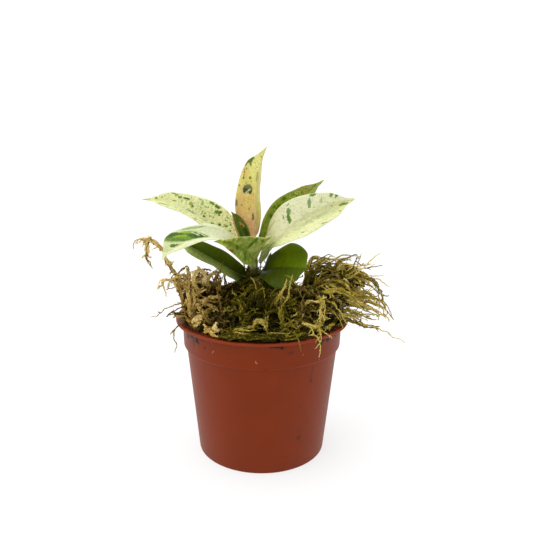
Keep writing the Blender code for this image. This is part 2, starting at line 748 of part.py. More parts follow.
def wandering_route(rng, root, heading, length, sag):
    """A strand that leaves its root along a heading, curls at random and sags toward its tip."""
    points = [root]
    direction = heading.normalized()
    axis = Vector([rng.uniform(-1, 1) for _ in range(3)]).normalized()
    curl = math.radians(rng.uniform(4, 26))
    for _ in range(STRAND_STEPS):
        direction = Quaternion(axis, curl) @ direction
        direction = (direction + Vector((0, 0, -sag))).normalized()
        points.append(points[-1] + direction * length / STRAND_STEPS)
    return points


def arched_route(rng, spot, normal, core_tree):
    """A strand that rises out of the bed and dips back into it further on."""
    drift = Vector([rng.uniform(-1, 1) for _ in range(3)])
    along = (drift - normal * drift.dot(normal)).normalized()
    far = core_tree.find_nearest((spot + along * rng.uniform(*ARCH_SPAN)) * MM)
    start = spot - normal * ROOT_DEPTH * 0.7
    end = far[0] / MM - far[1] * ROOT_DEPTH * 0.7
    rise = rng.uniform(*ARCH_RISE) + ROOT_DEPTH * 0.7
    bow = along.cross(normal) * rng.uniform(-2.5, 2.5)
    points = []
    for step in range(ARCH_STEPS + 1):
        share = step / ARCH_STEPS
        lift = (normal * (1 - share) + far[1] * share) * rise + bow
        points.append(start.lerp(end, share) + lift * math.sin(math.pi * share))
    return points


def is_clear(points, thick, obstacles):
    """Whether a strand keeps its distance from every other piece."""
    for first, second in zip(points, points[1:]):
        for place in (first, (first + second) / 2, second):
            for tree in obstacles:
                nearest = tree.find_nearest(place * MM)
                if nearest[3] is not None and nearest[3] < (thick * 1.1 + GAP) * MM:
                    return False
    return True


def surface_spots(mesh, rng, count):
    """Places drawn at random on the upper faces of a mesh, with the way each face looks."""
    faces = [face for face in mesh.polygons if face.normal.z > -0.35]
    weights = [face.area * (0.4 + max(face.normal.z, 0.0)) for face in faces]
    spots = []
    for face in rng.choices(faces, weights=weights, k=count):
        corners = [mesh.vertices[index].co for index in face.vertices]
        shares = [rng.random() for _ in corners]
        total = sum(shares)
        spot = sum((corner * share / total for corner, share in zip(corners, shares)), Vector())
        spots.append((spot / MM, face.normal.copy()))
    return spots


def free_route(rng, spot, normal, bed):
    """A strand that leaves the bed outward and ends in the air."""
    outward = Vector((spot.x, spot.y, 0.0)).normalized()
    drift = Vector([rng.uniform(-1, 1) for _ in range(3)])
    heading = normal * 0.6 + Vector(bed["lean"]) + outward * 0.35 + drift * 0.75
    length = rng.uniform(*bed["length"])
    return wandering_route(rng, spot - normal * ROOT_DEPTH, heading, length, bed["sag"])


def bed_strands(core, bed, name, obstacles, section):
    """Meshes of the strands that stand out of one bed."""
    rng = random.Random(bed["seed"])
    core_tree = tree_of_mesh(core)
    meshes = []
    for route in LONG_STRANDS.get(name, []):
        points = smooth_route(route, 4 + 2 * len(route))
        meshes.append(strand_mesh(points, STRAND_THICK, STRAND_FINE, section))
    for kind, wanted in (("free", bed["free"]), ("arch", bed["arches"])):
        grown = 0
        for spot, normal in surface_spots(core, rng, wanted * STRAND_TRIES):
            if grown == wanted:
                break
            thick = rng.uniform(0.75, 1.0) * STRAND_THICK
            if kind == "free":
                points = free_route(rng, spot, normal, bed)
                fine = STRAND_FINE
            else:
                points = arched_route(rng, spot, normal, core_tree)
                fine = thick
            if is_clear(points, thick, obstacles):
                meshes.append(strand_mesh(points, thick, fine, section))
                grown += 1
    return meshes


def bed_cores():
    """The core of each bed, cut from the mound and thickened by its wad."""
    mound = mound_mesh()
    cores = {}
    for name, bed in BEDS.items():
        x_range = (bed["x"][0] + BED_GAP / 2, bed["x"][1] - BED_GAP / 2)
        y_range = (bed["y"][0] + BED_GAP / 2, bed["y"][1] - BED_GAP / 2)
        box = box_mesh("bed_box", x_range, y_range, (0, 200))
        core = boolean_mesh(mound.copy(), "INTERSECT", [box])
        for centre, sizes in bed["wads"]:
            wad = boolean_mesh(wad_mesh("wad", centre, sizes), "INTERSECT", [box.copy()])
            core = boolean_mesh(core, "UNION", [wad])
        cores[name] = core
    return cores


def build_moss(collection):
    """The four beds of moss, each a core with the strands that stand out of it."""
    trees = {piece.name: tree_of_piece(piece) for piece in collection.objects}
    cores = bed_cores()
    section = three_sided_section()
    trees.update({name: tree_of_mesh(core) for name, core in cores.items()})
    for name, bed in BEDS.items():
        obstacles = [tree for other, tree in trees.items() if other != name]
        strands = bed_strands(cores[name], bed, name, obstacles, section)
        moss = fused(cores[name], strands)
        trees[name] = tree_of_mesh(moss)
        add_piece(name, moss, collection)
    bpy.data.objects.remove(section, do_unlink=True)


def tree_of_piece(piece):
    """Search tree over the faces of a piece."""
    bpy.context.view_layer.update()
    return BVHTree.FromObject(piece, bpy.context.evaluated_depsgraph_get())


def tree_of_mesh(mesh):
    """Search tree over the faces of a mesh that lies in world space."""
    corners = [vertex.co for vertex in mesh.vertices]
    return BVHTree.FromPolygons(corners, [tuple(face.vertices) for face in mesh.polygons])


def main():
    """Build the whole plant."""
    clear_scene()
    plant = new_collection("potted_rubber_plant")
    cutters = new_collection("cutters")
    build_pot(plant, cutters)
    build_soil(plant, cutters)
    build_stem(plant)
    build_leaves(plant)
    build_moss(plant)


main()
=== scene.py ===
"""Looks of a young rubber plant in a nursery pot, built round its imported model.

Sizes are written in millimetres and turned into metres where a mesh is made. The origin is the
middle of the pot's underside, +Z is up, and -Y is the side the plant is looked at from.
"""
import json
import math
import random

import bmesh
import bpy
import numpy as np
from bpy.props import FloatProperty, FloatVectorProperty, IntProperty, PointerProperty
from mathutils import Color, Matrix, Quaternion, Vector, noise
from mathutils.bvhtree import BVHTree

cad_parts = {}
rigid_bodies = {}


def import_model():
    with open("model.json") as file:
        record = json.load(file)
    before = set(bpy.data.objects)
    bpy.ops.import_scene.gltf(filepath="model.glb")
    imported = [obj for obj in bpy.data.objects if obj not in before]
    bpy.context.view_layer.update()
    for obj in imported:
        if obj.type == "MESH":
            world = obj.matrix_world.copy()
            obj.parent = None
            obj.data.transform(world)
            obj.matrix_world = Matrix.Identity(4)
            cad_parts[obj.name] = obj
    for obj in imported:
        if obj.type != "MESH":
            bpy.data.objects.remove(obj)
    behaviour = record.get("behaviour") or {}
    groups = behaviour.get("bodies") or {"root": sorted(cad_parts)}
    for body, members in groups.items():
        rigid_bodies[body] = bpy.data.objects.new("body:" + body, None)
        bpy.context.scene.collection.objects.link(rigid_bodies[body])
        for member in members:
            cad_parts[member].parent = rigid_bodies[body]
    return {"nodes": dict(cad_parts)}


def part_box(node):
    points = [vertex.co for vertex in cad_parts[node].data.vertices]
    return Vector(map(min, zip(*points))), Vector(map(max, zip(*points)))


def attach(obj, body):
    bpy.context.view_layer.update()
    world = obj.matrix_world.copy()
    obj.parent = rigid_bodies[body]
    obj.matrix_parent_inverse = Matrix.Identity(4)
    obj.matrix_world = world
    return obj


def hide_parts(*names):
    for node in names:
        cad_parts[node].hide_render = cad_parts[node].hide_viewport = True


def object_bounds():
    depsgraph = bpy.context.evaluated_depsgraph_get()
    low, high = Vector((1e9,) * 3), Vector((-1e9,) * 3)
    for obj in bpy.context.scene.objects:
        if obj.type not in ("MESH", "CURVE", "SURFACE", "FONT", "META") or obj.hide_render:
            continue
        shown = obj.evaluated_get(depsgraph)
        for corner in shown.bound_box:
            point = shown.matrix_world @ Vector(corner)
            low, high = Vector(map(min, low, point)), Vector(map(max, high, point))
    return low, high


bl_info = {
    "name": "Potted Rubber Plant",
    "version": (1, 0, 0),
    "blender": (4, 5, 0),
    "location": "3D View > Sidebar > Plant",
    "description": "Variegated rubber plant with moss in a round nursery pot",
    "category": "Add Mesh",
}

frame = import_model()
CAD_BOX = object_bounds()
POT_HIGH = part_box("pot")[1]

MM = 0.001
GAP = 0.35

# Pot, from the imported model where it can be
POT_HEIGHT = POT_HIGH.z / MM
RIM_RADIUS = POT_HIGH.x / MM
RIM_THICKNESS = 1.4
BAND_TOP_RADIUS = 41.6
BAND_LOW_RADIUS = 41.1
BAND_LOW_Z = 58.3
BODY_TOP_RADIUS = 39.7
BASE_RADIUS = 33.7
CORNER_ROUNDING = 0.7
WALL = 1.2
FLOOR = 1.6
DRAIN_HOLES = 6
DRAIN_RADIUS = 3.2
DRAIN_RING = 23.0

# Soil
SOIL_EDGE_Z = 64.5
SOIL_MIDDLE_Z = 66.5
SOIL_ROUGHNESS = 0.7
SOIL_GRAIN = 0.35
SOIL_RINGS = 60
GRAIN_ROUGHNESS = 1.1
GRAIN_RISE = 0.3

# Stem
STEM_FOOT_Z = 46.0
STEM_TOP_Z = 113.5
STEM_LEAN = (-0.030, 0.012)
STEM_BASE = (-3.4, -0.6)
STEM_LOW_RADIUS = 2.5
STEM_HIGH_RADIUS = 1.75
STEM_TIP_LENGTH = 3.0
STEM_FOOT_LENGTH = 5.0
NODE_SWELLING = 0.35
NODE_LENGTH = 1.1
STEM_RIDGE = 0.07
STEM_LUMP = 0.12

# Leaves
PETIOLE_RADIUS = 1.15
PETIOLE_SHARE = 0.09
BLADE_START = PETIOLE_SHARE * 0.3
PETIOLE_FADE = PETIOLE_SHARE * 0.5
BLADE_FULL = PETIOLE_SHARE * 1.7
BROAD_FOOT = (0.0, 0.04, 0.10, 0.15, 0.20)
TRIM_SHARES = (0.0, 0.04, 0.10, 0.15, 0.20, 0.30, 0.40, 0.50, 0.60, 1.0)
UNTRIMMED = (1.0,) * len(TRIM_SHARES)
TIP_HALF_WIDTH = 0.5
FOLDED_HALF_WIDTH = 2.2
DRIP_CUT = 0.55
DRIP_SHARES = (0.82, 0.97)
WAVE_TURN = 14.0
WAVE_SHIFT = 2.1
RIPPLE = 0.06
RIPPLE_TURN = 2.1
BLADE_HALF_THICKNESS = 0.2
EDGE_HALF_THICKNESS = 0.08
RIB_RADIUS = 0.85
RIB_GROOVE = 0.28
GROOVE_HALF_WIDTH = 0.45
CREASE = 0.10
BELLY = 0.05

# Each leaf: where round the stem and how high it starts, the two bends and the tip of its rib, the
# way its face looks and its roll from foot to tip, how far its two halves fold up, its width, where
# it is widest, how full its outline is and how high its edge waves. Foot holds the half widths at
# BROAD_FOOT, and the trims what is left of each half's width at TRIM_SHARES
LEAVES = {
    "leaf_upper_left": dict(
        around=155, height=104, bends=((-24.5, 10, 117.5), (-41.5, 15, 130.5)), tip=(-64.5, 18, 131),
        face=(0, 0, 1), roll=(16, 13, 11), fold_a=(46, 22), fold_b=(33, 12), width=23, widest=0.44,
        fullness=0.74, wave=0.5),
    "leaf_lower_left": dict(
        around=212, height=101, bends=((-16, -11, 122.5), (-39.5, -21, 118)), tip=(-47.5, -25, 107.5),
        face=(0, 0, 1), roll=(52, 22, 30), fold_a=(0, 16), fold_b=(0, 27), width=26.5, widest=0.47,
        fullness=0.62, wave=0.6),
    "leaf_upright": dict(
        around=105, height=109.5, bends=((-4, 4.5, 121.5), (-6, 4, 142)), tip=(1.5, 9, 159),
        face=(0, -1, 0.3), roll=(118, 115, 114), fold_a=(21, 41), fold_b=(0, 22), width=22.5, widest=0.5,
        fullness=0.64, wave=0.3),
    "leaf_back_right": dict(
        around=68, height=105, bends=((5.5, 20, 114.5), (18, 29, 127)), tip=(34, 36, 140.5),
        face=(0, -0.6, 0.8), roll=(-28, 1, 16), fold_a=(42, 25), fold_b=(52, 16), width=20.5, widest=0.46,
        fullness=0.7, wave=0.5),
    "leaf_right": dict(
        around=345, height=101.5, bends=((7, -3.5, 115.5), (25.5, -5, 129.5)), tip=(46, -3, 134.2),
        face=(0, -0.6, 0.8), roll=(0, 5, 32, 21, 11, 0, -6, -11, -17, -22, -28), fold_a=(22, 37),
        fold_b=(-5, 50), width=26, widest=0.42, fullness=0.62, wave=0.2, foot=(1.15, 1.7, 3.6, 7, 11),
        trim_a=(1, 0.9, 0.62, 0.58, 0.65, 1, 1, 1, 1, 1)),
    "leaf_low_left": dict(
        around=180, height=92, bends=((-18, -2, 97.5), (-31, -3, 108)), tip=(-43, -4, 112.5),
        face=(0, -0.3, 1), roll=(52, 40, 65), fold_a=(50, 50), fold_b=(48, 50), width=20, widest=0.44,
        fullness=0.62, wave=0.3, trim_a=(1, 1, 0.85, 0.78, 0.74, 0.7, 0.7, 0.7, 0.72, 1)),
    "leaf_low_right": dict(
        around=325, height=94.5, bends=((6.5, -7.5, 102.5), (16.5, -13.5, 100.5)), tip=(21.5, -18.5, 102),
        face=(0, -0.4, 1), roll=(5, -18, -15), fold_a=(22, -8), fold_b=(21, -8), width=27.5, widest=0.52,
        fullness=0.66, wave=0.4, foot=(1.15, 2.6, 6.4, 9.4, 11.5)),
    "leaf_bud": dict(
        around=235, height=110.5, bends=((-9.5, -5, 117.5), (-12.5, -6.5, 123)), tip=(-15.5, -7.5, 128),
        face=(0.5, -0.7, 0.5), roll=(2, -7, -8), fold_a=(0, 10), fold_b=(0, 10), width=8.2, widest=0.45,
        fullness=0.73, wave=0, trim_a=(1, 1, 1.1) + (1.22,) * 6 + (1,),
        trim_b=(1, 1, 1.1) + (1.22,) * 6 + (1,)),
    "leaf_front": dict(
        around=268, height=98.5, bends=((-2.5, -13.5, 107), (-9.5, -26, 117.5)), tip=(-22.5, -30, 117),
        face=(0.6, 0.4, 0.6), roll=(37, 85, 91), fold_a=(17, 55), fold_b=(6, 55), width=20.5, widest=0.4,
        fullness=0.86, wave=0.4, trim_a=(1, 1.2, 1.45, 1.55, 1.55, 1.45, 1.3, 1.15, 1.05, 1),
        trim_b=(1, 0.9, 0.5, 0.4, 0.36, 0.52, 0.65, 0.77, 0.94, 1)),
}

# How much brighter than white paint in plain light the scene's light makes a surface
LIGHT_LEVEL = 1.12

# Colours as they look on a screen, red, green and blue from 0 to 255
CREAM = (232, 234, 176)
PALE = (236, 238, 198)
GREEN = (88, 126, 0)
DEEP_GREEN = (58, 98, 0)
SAGE = (140, 164, 104)
MIST = (198, 210, 166)
OLIVE = (150, 162, 40)
LIME = (196, 210, 92)
RUST = (184, 110, 50)
SCORCH = (124, 72, 30)
BARK_BROWN = (84, 66, 24)
YOUNG_BARK = (128, 124, 40)
BARK_STREAK = (112, 66, 30)
SOIL_DUST = (104, 72, 56)
SOIL_SILT = (62, 40, 30)
# Soil on the rim's top, made darker still as painted shade
LIP_SOIL_AND_SHADE = (70, 30, 18)
DAMP_MIX = (22, 16, 10)
DRY_MIX = (74, 56, 38)

# Grains, each with the colour of its dark and of its light parts
RIM_CRUMB = ((24, 16, 10), (84, 62, 44))
SOIL_CRUMB = ((20, 14, 9), (82, 62, 42))
WHITE_GRAIN = ((206, 200, 188), (244, 242, 236))

# Each leaf's colours from foot to tip, with far for the half across the rib, the share and colour
# of its marbling and of its specks, the colours of its rib and edge, with border for where the
# edge's colour starts, threads where large green patches are streaked, pale_under for how far the
# underside is dulled, its washes: place across and along the blade, half sizes, colour and
# strength, and its patches: place, half sizes, colour and, where a patch is turned, its turn
LEAF_LOOKS = {
    "leaf_upper_left": dict(
        foot=CREAM, middle=CREAM, tip=(228, 232, 164), marbling=(0.34, LIME), specks=(0.46, GREEN),
        rib=PALE, edge=(222, 222, 150),
        washes=[(7, 32, 4, 12, (206, 214, 128), 0.4)],
        patches=[
            (7.7, 36.8, 1.7, 0.6, SAGE, 20), (10.1, 32.6, 0.9, 1.5, GREEN, -8),
            (9.8, 29.2, 0.8, 1.6, DEEP_GREEN, -14), (7.2, 27.9, 1.2, 0.9, GREEN, 30),
            (7.9, 26.4, 1, 0.8, DEEP_GREEN), (6.6, 26, 0.5, 0.6, GREEN),
            (6.3, 44.8, 0.7, 1.9, DEEP_GREEN, 12), (5.7, 48.2, 0.7, 1, GREEN),
            (6.3, 50.4, 0.8, 1.2, OLIVE), (6.9, 52.4, 0.5, 1.4, GREEN), (1.6, 59.6, 0.6, 0.8, GREEN),
            (3.7, 40.1, 0.6, 0.8, DEEP_GREEN), (4.5, 41.6, 1.1, 1, OLIVE),
            (1.9, 32.1, 0.5, 0.7, DEEP_GREEN), (3, 34, 1.3, 0.5, OLIVE), (1.1, 26.1, 0.7, 1.1, GREEN),
            (2.8, 22.7, 0.7, 0.8, DEEP_GREEN), (4.2, 19.4, 0.5, 0.6, GREEN), (6.2, 18.1, 0.5, 0.5, GREEN),
            (3.9, 16.1, 0.5, 0.6, GREEN), (8.2, 21.4, 0.4, 0.8, GREEN), (4.6, 46.4, 0.6, 0.6, LIME),
            (2.6, 50, 0.5, 1, OLIVE), (9.2, 38.6, 0.4, 1, SAGE), (-0.6, 31, 1, 3, SAGE),
            (0.3, 38.8, 0.7, 3, SAGE), (-1.6, 46, 0.9, 3.2, MIST), (-4.4, 52.9, 0.8, 3.6, SAGE),
            (-0.2, 64.6, 0.9, 1.6, SAGE)]),
    "leaf_lower_left": dict(
        foot=PALE, middle=(228, 232, 190), tip=(228, 232, 176), marbling=(0.26, MIST), specks=(0.1, SAGE),
        rib=PALE, edge=(216, 222, 164), threads=True,
        washes=[(7, 36, 4, 12, (186, 200, 142), 0.7), (2, 44, 4, 8, (190, 206, 130), 0.5)],
        patches=[
            (9.9, 33, 1.4, 6.2, SAGE), (3.6, 38.2, 10.6, 3.7, (84, 124, 4), 67),
            (1.2, 33.2, 5.6, 1.6, (56, 88, 14), 60), (8, 43.6, 4.6, 2, (60, 96, 10), 62),
            (4.8, 41, 3.4, 0.9, (142, 172, 40), 64), (3.9, 34.2, 2.6, 0.34, PALE, 40),
            (2.7, 31.4, 2.6, 0.34, PALE, 40), (6.6, 38.2, 3.2, 0.5, (150, 180, 56), 62),
            (2.4, 39.4, 2.8, 0.4, (122, 156, 26), 66), (0.2, 45, 3.6, 1.1, (66, 108, 6), 51),
            (2.6, 50.5, 1.2, 1.6, MIST, 20), (-0.6, 48.6, 0.7, 1.2, SAGE, 20), (8, 24, 1.4, 3.5, MIST),
            (-3, 16, 1, 3, MIST)]),
    "leaf_upright": dict(
        foot=(250, 196, 138), middle=(254, 242, 138), tip=(254, 253, 162), marbling=(0.3, (226, 176, 92)),
        specks=(0.26, (140, 144, 30)), rib=(232, 200, 138), edge=(228, 206, 140), pale_under=0.08,
        washes=[(1, 10, 7, 9, (250, 182, 144), 0.9), (8, 20, 2.5, 8, (248, 192, 118), 0.8),
            (3, 23, 2.5, 7, (248, 200, 112), 0.8), (10, 14, 1.5, 7, (236, 160, 130), 0.7),
            (-6, 16, 2, 8, (204, 188, 90), 0.7), (-3, 30, 1.6, 9, (212, 204, 98), 0.7),
            (7, 35, 2, 3.5, (240, 196, 106), 0.6), (4, 46, 4, 4, (248, 246, 160), 0.8),
            (5, 31, 3, 4, (230, 224, 110), 0.5), (-1.5, 10, 1, 6, (250, 222, 160), 0.8)],
        patches=[
            (6.5, 42.6, 2.2, 2.4, (42, 80, 0), 20), (5.3, 40.6, 0.6, 1.7, GREEN, -30),
            (7.5, 39.9, 0.6, 1.3, (86, 124, 40), 10), (4.6, 43.4, 0.9, 0.4, GREEN, 20),
            (6.9, 37.5, 0.4, 0.5, OLIVE), (8, 36.9, 0.3, 0.5, OLIVE), (7.7, 36, 0.4, 0.7, RUST),
            (7.6, 34.6, 0.3, 0.5, RUST), (7.8, 33, 0.5, 0.6, DEEP_GREEN),
            (4.1, 33.5, 0.6, 0.7, (110, 120, 20)), (3, 32, 0.4, 0.5, RUST), (5.9, 31.2, 0.35, 0.5, RUST),
            (0.5, 35, 0.4, 2.4, (164, 166, 92)), (9.9, 29.4, 0.5, 0.5, DEEP_GREEN),
            (4.6, 28.3, 2.7, 2.2, (92, 108, 64)), (5.9, 27.3, 1.4, 1.5, (38, 62, 22)),
            (3, 27, 0.8, 1.2, (48, 70, 36)), (4.3, 27.2, 1.9, 0.34, (226, 218, 172), -38),
            (11, 21.3, 1.3, 1.7, (98, 116, 66)), (7.1, 20.3, 0.6, 0.6, OLIVE),
            (-4.4, 33, 0.5, 3.4, (150, 152, 60)), (-6, 28.4, 0.5, 3, (150, 152, 60)),
            (0.7, 14.4, 0.5, 2, (96, 104, 16)), (-0.7, 16.9, 0.4, 1.6, OLIVE),
            (-3.6, 11.8, 0.5, 1.6, (96, 94, 30)), (3, 18.6, 0.4, 1, OLIVE)]),
    "leaf_back_right": dict(
        foot=(132, 148, 26), middle=(160, 172, 58), tip=(150, 164, 72), marbling=(0.62, (112, 136, 14)),
        specks=(1, (66, 94, 0)), rib=(176, 186, 80), edge=(162, 128, 50),
        washes=[(-4, 52, 4, 6, (178, 150, 70), 0.5), (-7, 26, 2, 14, (96, 120, 6), 0.6)],
        patches=[
            (1.9, 53.8, 1, 3.6, (124, 146, 92)), (-7.6, 38, 1, 1.6, (66, 96, 2)),
            (-6.2, 24, 1.2, 1, (60, 92, 0)), (-8.4, 30, 0.7, 1.2, (66, 96, 0)),
            (-8.8, 44, 0.5, 1.6, (62, 94, 4)), (-5, 33, 0.8, 1, (74, 104, 0)),
            (-6.6, 50, 0.3, 1.8, RUST)]),
    "leaf_right": dict(
        foot=(212, 220, 148), middle=(236, 238, 180), tip=(238, 240, 174), far=(253, 254, 212),
        marbling=(0.28, LIME), specks=(0.12, OLIVE), rib=(226, 226, 162), edge=(236, 238, 186),
        washes=[(0, 5, 6, 8, (164, 180, 92), 0.8), (3, 36, 1.8, 12, (188, 200, 150), 0.85),
            (-1.2, 34, 0.9, 16, (214, 218, 160), 0.6)],
        patches=[
            (-9.6, 40.7, 0.9, 1.4, GREEN), (-6.3, 37.8, 2.6, 0.8, (136, 164, 104), -25),
            (-4.9, 43.1, 1.2, 0.7, MIST, -25), (-6.4, 48.2, 1.7, 0.7, (106, 144, 34), -25),
            (-5.4, 50.8, 1.8, 0.8, GREEN, -40), (-7.2, 49.6, 0.5, 1.5, SAGE),
            (1.5, 52.5, 0.8, 2.4, (104, 142, 44)), (5, 49.6, 0.4, 0.5, OLIVE),
            (-7.8, 27.5, 1.8, 1.1, (112, 150, 76), -20), (-4.8, 25.6, 2.3, 0.9, GREEN, -20),
            (-7.3, 24, 1.1, 0.4, (140, 178, 76), -20), (-10.9, 28.9, 0.3, 0.9, SAGE),
            (9.3, 39.6, 0.4, 1.5, (108, 144, 56)), (9, 28.3, 0.5, 0.9, SAGE),
            (5.1, 20.1, 0.4, 0.5, GREEN), (-9.5, 16, 0.5, 3.4, (190, 206, 150)),
            (9, 9, 0.6, 3.2, SAGE, 12), (6.6, 6, 0.5, 3, (110, 138, 40), 12), (10, 4.6, 0.5, 2.4, GREEN),
            (-3, 7, 0.5, 3, (120, 146, 50), -8), (-1, 10, 0.4, 3, (136, 158, 66), -4),
            (3.4, 11, 0.4, 2.4, SAGE, 8)]),
    # leaf_low_left: its far half is much lighter, painted light on the half that lies in shade
    "leaf_low_left": dict(
        foot=(58, 66, 0), middle=(88, 104, 8), tip=(106, 122, 32), far=(200, 218, 130),
        marbling=(0.34, (84, 108, 22)), specks=(0.1, (50, 66, 4)), rib=(158, 170, 96),
        edge=(108, 124, 50),
        washes=[(3, 26, 3, 5, (96, 122, 32), 0.6)],
        patches=[]),
    # leaf_low_right: its far half and its light wash are a painted highlight, and the two dark washes at
    # its foot are painted shade
    "leaf_low_right": dict(
        foot=(56, 64, 0), middle=(70, 84, 0), tip=(80, 98, 0), far=(106, 128, 0),
        marbling=(0.2, (60, 84, 0)), specks=(0, DEEP_GREEN), rib=(88, 92, 16), edge=(78, 104, 10),
        washes=[(-8, 24, 5, 5, (92, 118, 2), 0.7), (-8, 8, 3, 5, (44, 62, 0), 0.6),
            (4, 3, 9, 6, (40, 50, 0), 0.6)],
        patches=[]),
    "leaf_bud": dict(
        foot=(96, 116, 34), middle=(92, 116, 20), tip=(110, 110, 30), marbling=(0.4, (52, 80, 4)),
        specks=(0.95, (48, 76, 0)), rib=(104, 112, 30), edge=(222, 164, 124), border=0.78,
        washes=[(0.5, 6, 1.6, 4, (70, 88, 60), 0.7)],
        patches=[
            (1.2, 7, 0.9, 3, (48, 74, 8)), (-1.4, 10, 0.9, 3, (64, 92, 6)),
            (0.7, 12.6, 0.4, 1, (212, 140, 76)), (1.4, 10.6, 0.3, 0.9, (206, 150, 80)),
            (-0.4, 14.6, 0.5, 1.4, (52, 80, 0))]),
    "leaf_front": dict(
        foot=(152, 156, 56), middle=(200, 206, 112), tip=(206, 208, 94), far=(136, 154, 54),
        marbling=(0.8, (112, 142, 34)), specks=(0.35, (76, 108, 4)), rib=(168, 178, 86),
        edge=(208, 210, 130),
        washes=[(5, 26, 4, 6, (120, 146, 56), 0.7), (-2, 37, 2.5, 4, (190, 192, 84), 0.9),
            (6, 12, 3, 5, (196, 200, 112), 0.7)],
        patches=[
            (9.2, 16.6, 0.7, 2.6, GREEN), (7.6, 20.4, 0.7, 2, (98, 132, 28), -20),
            (3.4, 22.6, 2, 0.8, (70, 108, 6), 30), (-3, 22, 2.2, 0.7, (72, 106, 14), -36),
            (-5.2, 16.4, 2.2, 0.5, (176, 188, 92), -36), (-4, 26, 1.8, 0.4, (196, 204, 124), -36),
            (-2.6, 13, 1.8, 0.6, (84, 112, 20), -36), (-5.2, 33.4, 0.9, 2.8, SCORCH, 24),
            (-4.4, 37.2, 0.6, 2.4, SCORCH, 24), (0.8, 33, 0.7, 1.6, (110, 138, 30)),
            (-7.4, 28.6, 0.5, 1.6, (150, 120, 70), 24), (-6, 22.5, 2, 0.9, (66, 100, 10), -36),
            (-1.8, 28.4, 1.6, 0.8, (80, 110, 20), -36), (4.6, 13.2, 0.5, 2.6, (150, 166, 70), 20),
            (6.8, 23.6, 2.2, 0.7, (80, 116, 16), 24)]),
}

# Marks on the pot: angle round it from the front, height, half width, half height, colour, turn
POT_MARKS = [
    (-63, 68.4, 1.6, 2.4, (34, 18, 4), 10), (-56, 68.6, 2, 1.2, (38, 20, 6), 20),
    (-54, 66, 0.6, 2.4, (60, 26, 8), 14), (-50, 67.6, 1.4, 1.6, (40, 22, 8), -20),
    (-48, 66.6, 0.5, 0.7, (44, 22, 8)), (-44.5, 69.8, 1.6, 0.5, (60, 30, 14)),
    (-41.8, 65.4, 0.7, 0.6, (54, 26, 10)), (-51, 63.6, 0.5, 2.6, (140, 58, 20), -6),
    (10.9, 69.9, 3, 0.6, (50, 24, 10)), (12.6, 69, 0.9, 0.5, (70, 34, 16)),
    (19.1, 66.3, 1.6, 0.8, (104, 42, 22)), (38.5, 69.9, 1.2, 0.6, (46, 26, 10)),
    (42.5, 68.8, 1.9, 2.2, (50, 34, 18), 30), (46, 69.6, 1.8, 1, (40, 26, 12)),
    (50.6, 69, 1.8, 1.7, (36, 20, 8), 40), (55, 70, 2, 0.7, (46, 26, 14)),
    (62, 68.6, 1.4, 1.6, (44, 24, 10)), (66.9, 68.4, 0.9, 1.6, (40, 22, 10)),
    (-34.2, 64.6, 0.9, 0.18, (204, 140, 96), 60), (27.9, 64.3, 0.4, 0.3, (196, 110, 60), 40),
    (-3.8, 62.3, 0.8, 0.2, (206, 150, 110), -60), (2.7, 58.6, 0.6, 0.35, (56, 28, 14)),
    (38.3, 52.6, 0.45, 4.4, (106, 36, 12), -4), (37.9, 48.8, 0.6, 0.9, (84, 28, 8)),
    (30.9, 18, 1.2, 0.8, (92, 38, 12), 30), (32.6, 18.6, 0.5, 0.9, (88, 34, 10)),
    (34.6, 21.5, 0.45, 0.6, (96, 38, 14)), (46, 20.1, 0.5, 0.5, (96, 38, 14)),
    (47.2, 12.6, 0.4, 0.4, (100, 40, 16)), (30.5, 35.6, 0.4, 0.5, (100, 38, 16)),
    (50.7, 27.9, 0.4, 0.4, (104, 42, 18)), (21, 8.6, 0.4, 0.5, (100, 40, 16)),
]

# Stretches of the rim with crumbs of soil: angle from the front, its spread, how many crumbs,
# and whether they lie on the lip or hang on the band
RIM_DIRT = [
    (-56, 9, 22, "lip"), (-58, 7, 16, "band"), (-48, 7, 9, "band"), (36, 8, 22, "lip"),
    (42, 7, 16, "band"), (50, 8, 44, "lip"), (57, 5, 12, "band"), (11, 6, 6, "band"),
    (160, 30, 18, "lip"), (95, 20, 10, "lip"), (-110, 24, 12, "lip"), (0, 40, 10, "lip"),
]

# Moss: a mound on the soil, cut in four beds
MOUND_INNER = 3.6
MOUND_OUTER = 39.3
MOUND_TOP_Z = 88.0
MOUND_RIM_Z = 73.0
MOUND_LUMPS = 1.8
MOUND_GRAIN = 0.11
MOUND_STEPS = 30
MOUND_RINGS = 7
MOUND_HOLE_Z = 80.0
BED_GAP = 0.5
LEFT_CUT_X = -17.0
RIGHT_CUT_X = 17.0
BACK_CUT_Y = 9.0
WAD_LUMPS = 0.42
WAD_GRAIN = 1.9
CORE_DEPTH = 1.3
CORE_LUMPS = 1.2
CORE_GRAIN = 0.35

# Strands of moss: thickness at root and tip as shares of a full one, and how their routes run
STRAND_THICK = 1.0
STRAND_FINE = 0.45
STRAND_STEPS = 6
STRAND_TRIES = 16
STRAND_CURL = (4, 26)
ROOT_DEPTH = 2.2
ARCH_SPAN = (8.0, 17.0)
ARCH_RISE = (1.6, 4.0)
ARCH_STEPS = 5
ARCH_SINK = 0.7
ARCH_BOW = 2.5
CREEP_STEPS = (9, 20)
CREEP_STEP = 1.3
CREEP_LIFT = 0.7
CREEP_WAVE = 1.9
KINK_STEP = 0.9
SLOW_KINK = (0.16, 1.4)
QUICK_KINK = (0.45, 0.6)
LOCK_POINTS = 12
LOCK_CUT = (0.72, 1.0)
LOCK_THICK = (0.8, 1.35)
LOCK_TINT = 0.22
LOCK_CLEARANCE = 0.7
RIM_LOCK_RADIUS = (40.0, 44.2)
RIM_LOCK_SPAN = (7, 14)
RIM_LOCK_SWAY = 0.9
RIM_LOCK_LIFT = (1.3, 3.4)
TWIG_LENGTH = (2.0, 5.0)
TWIG_CLEARANCE = 0.5
POINTS_PER_TWIG = 16
OPEN_AIR = 4.0

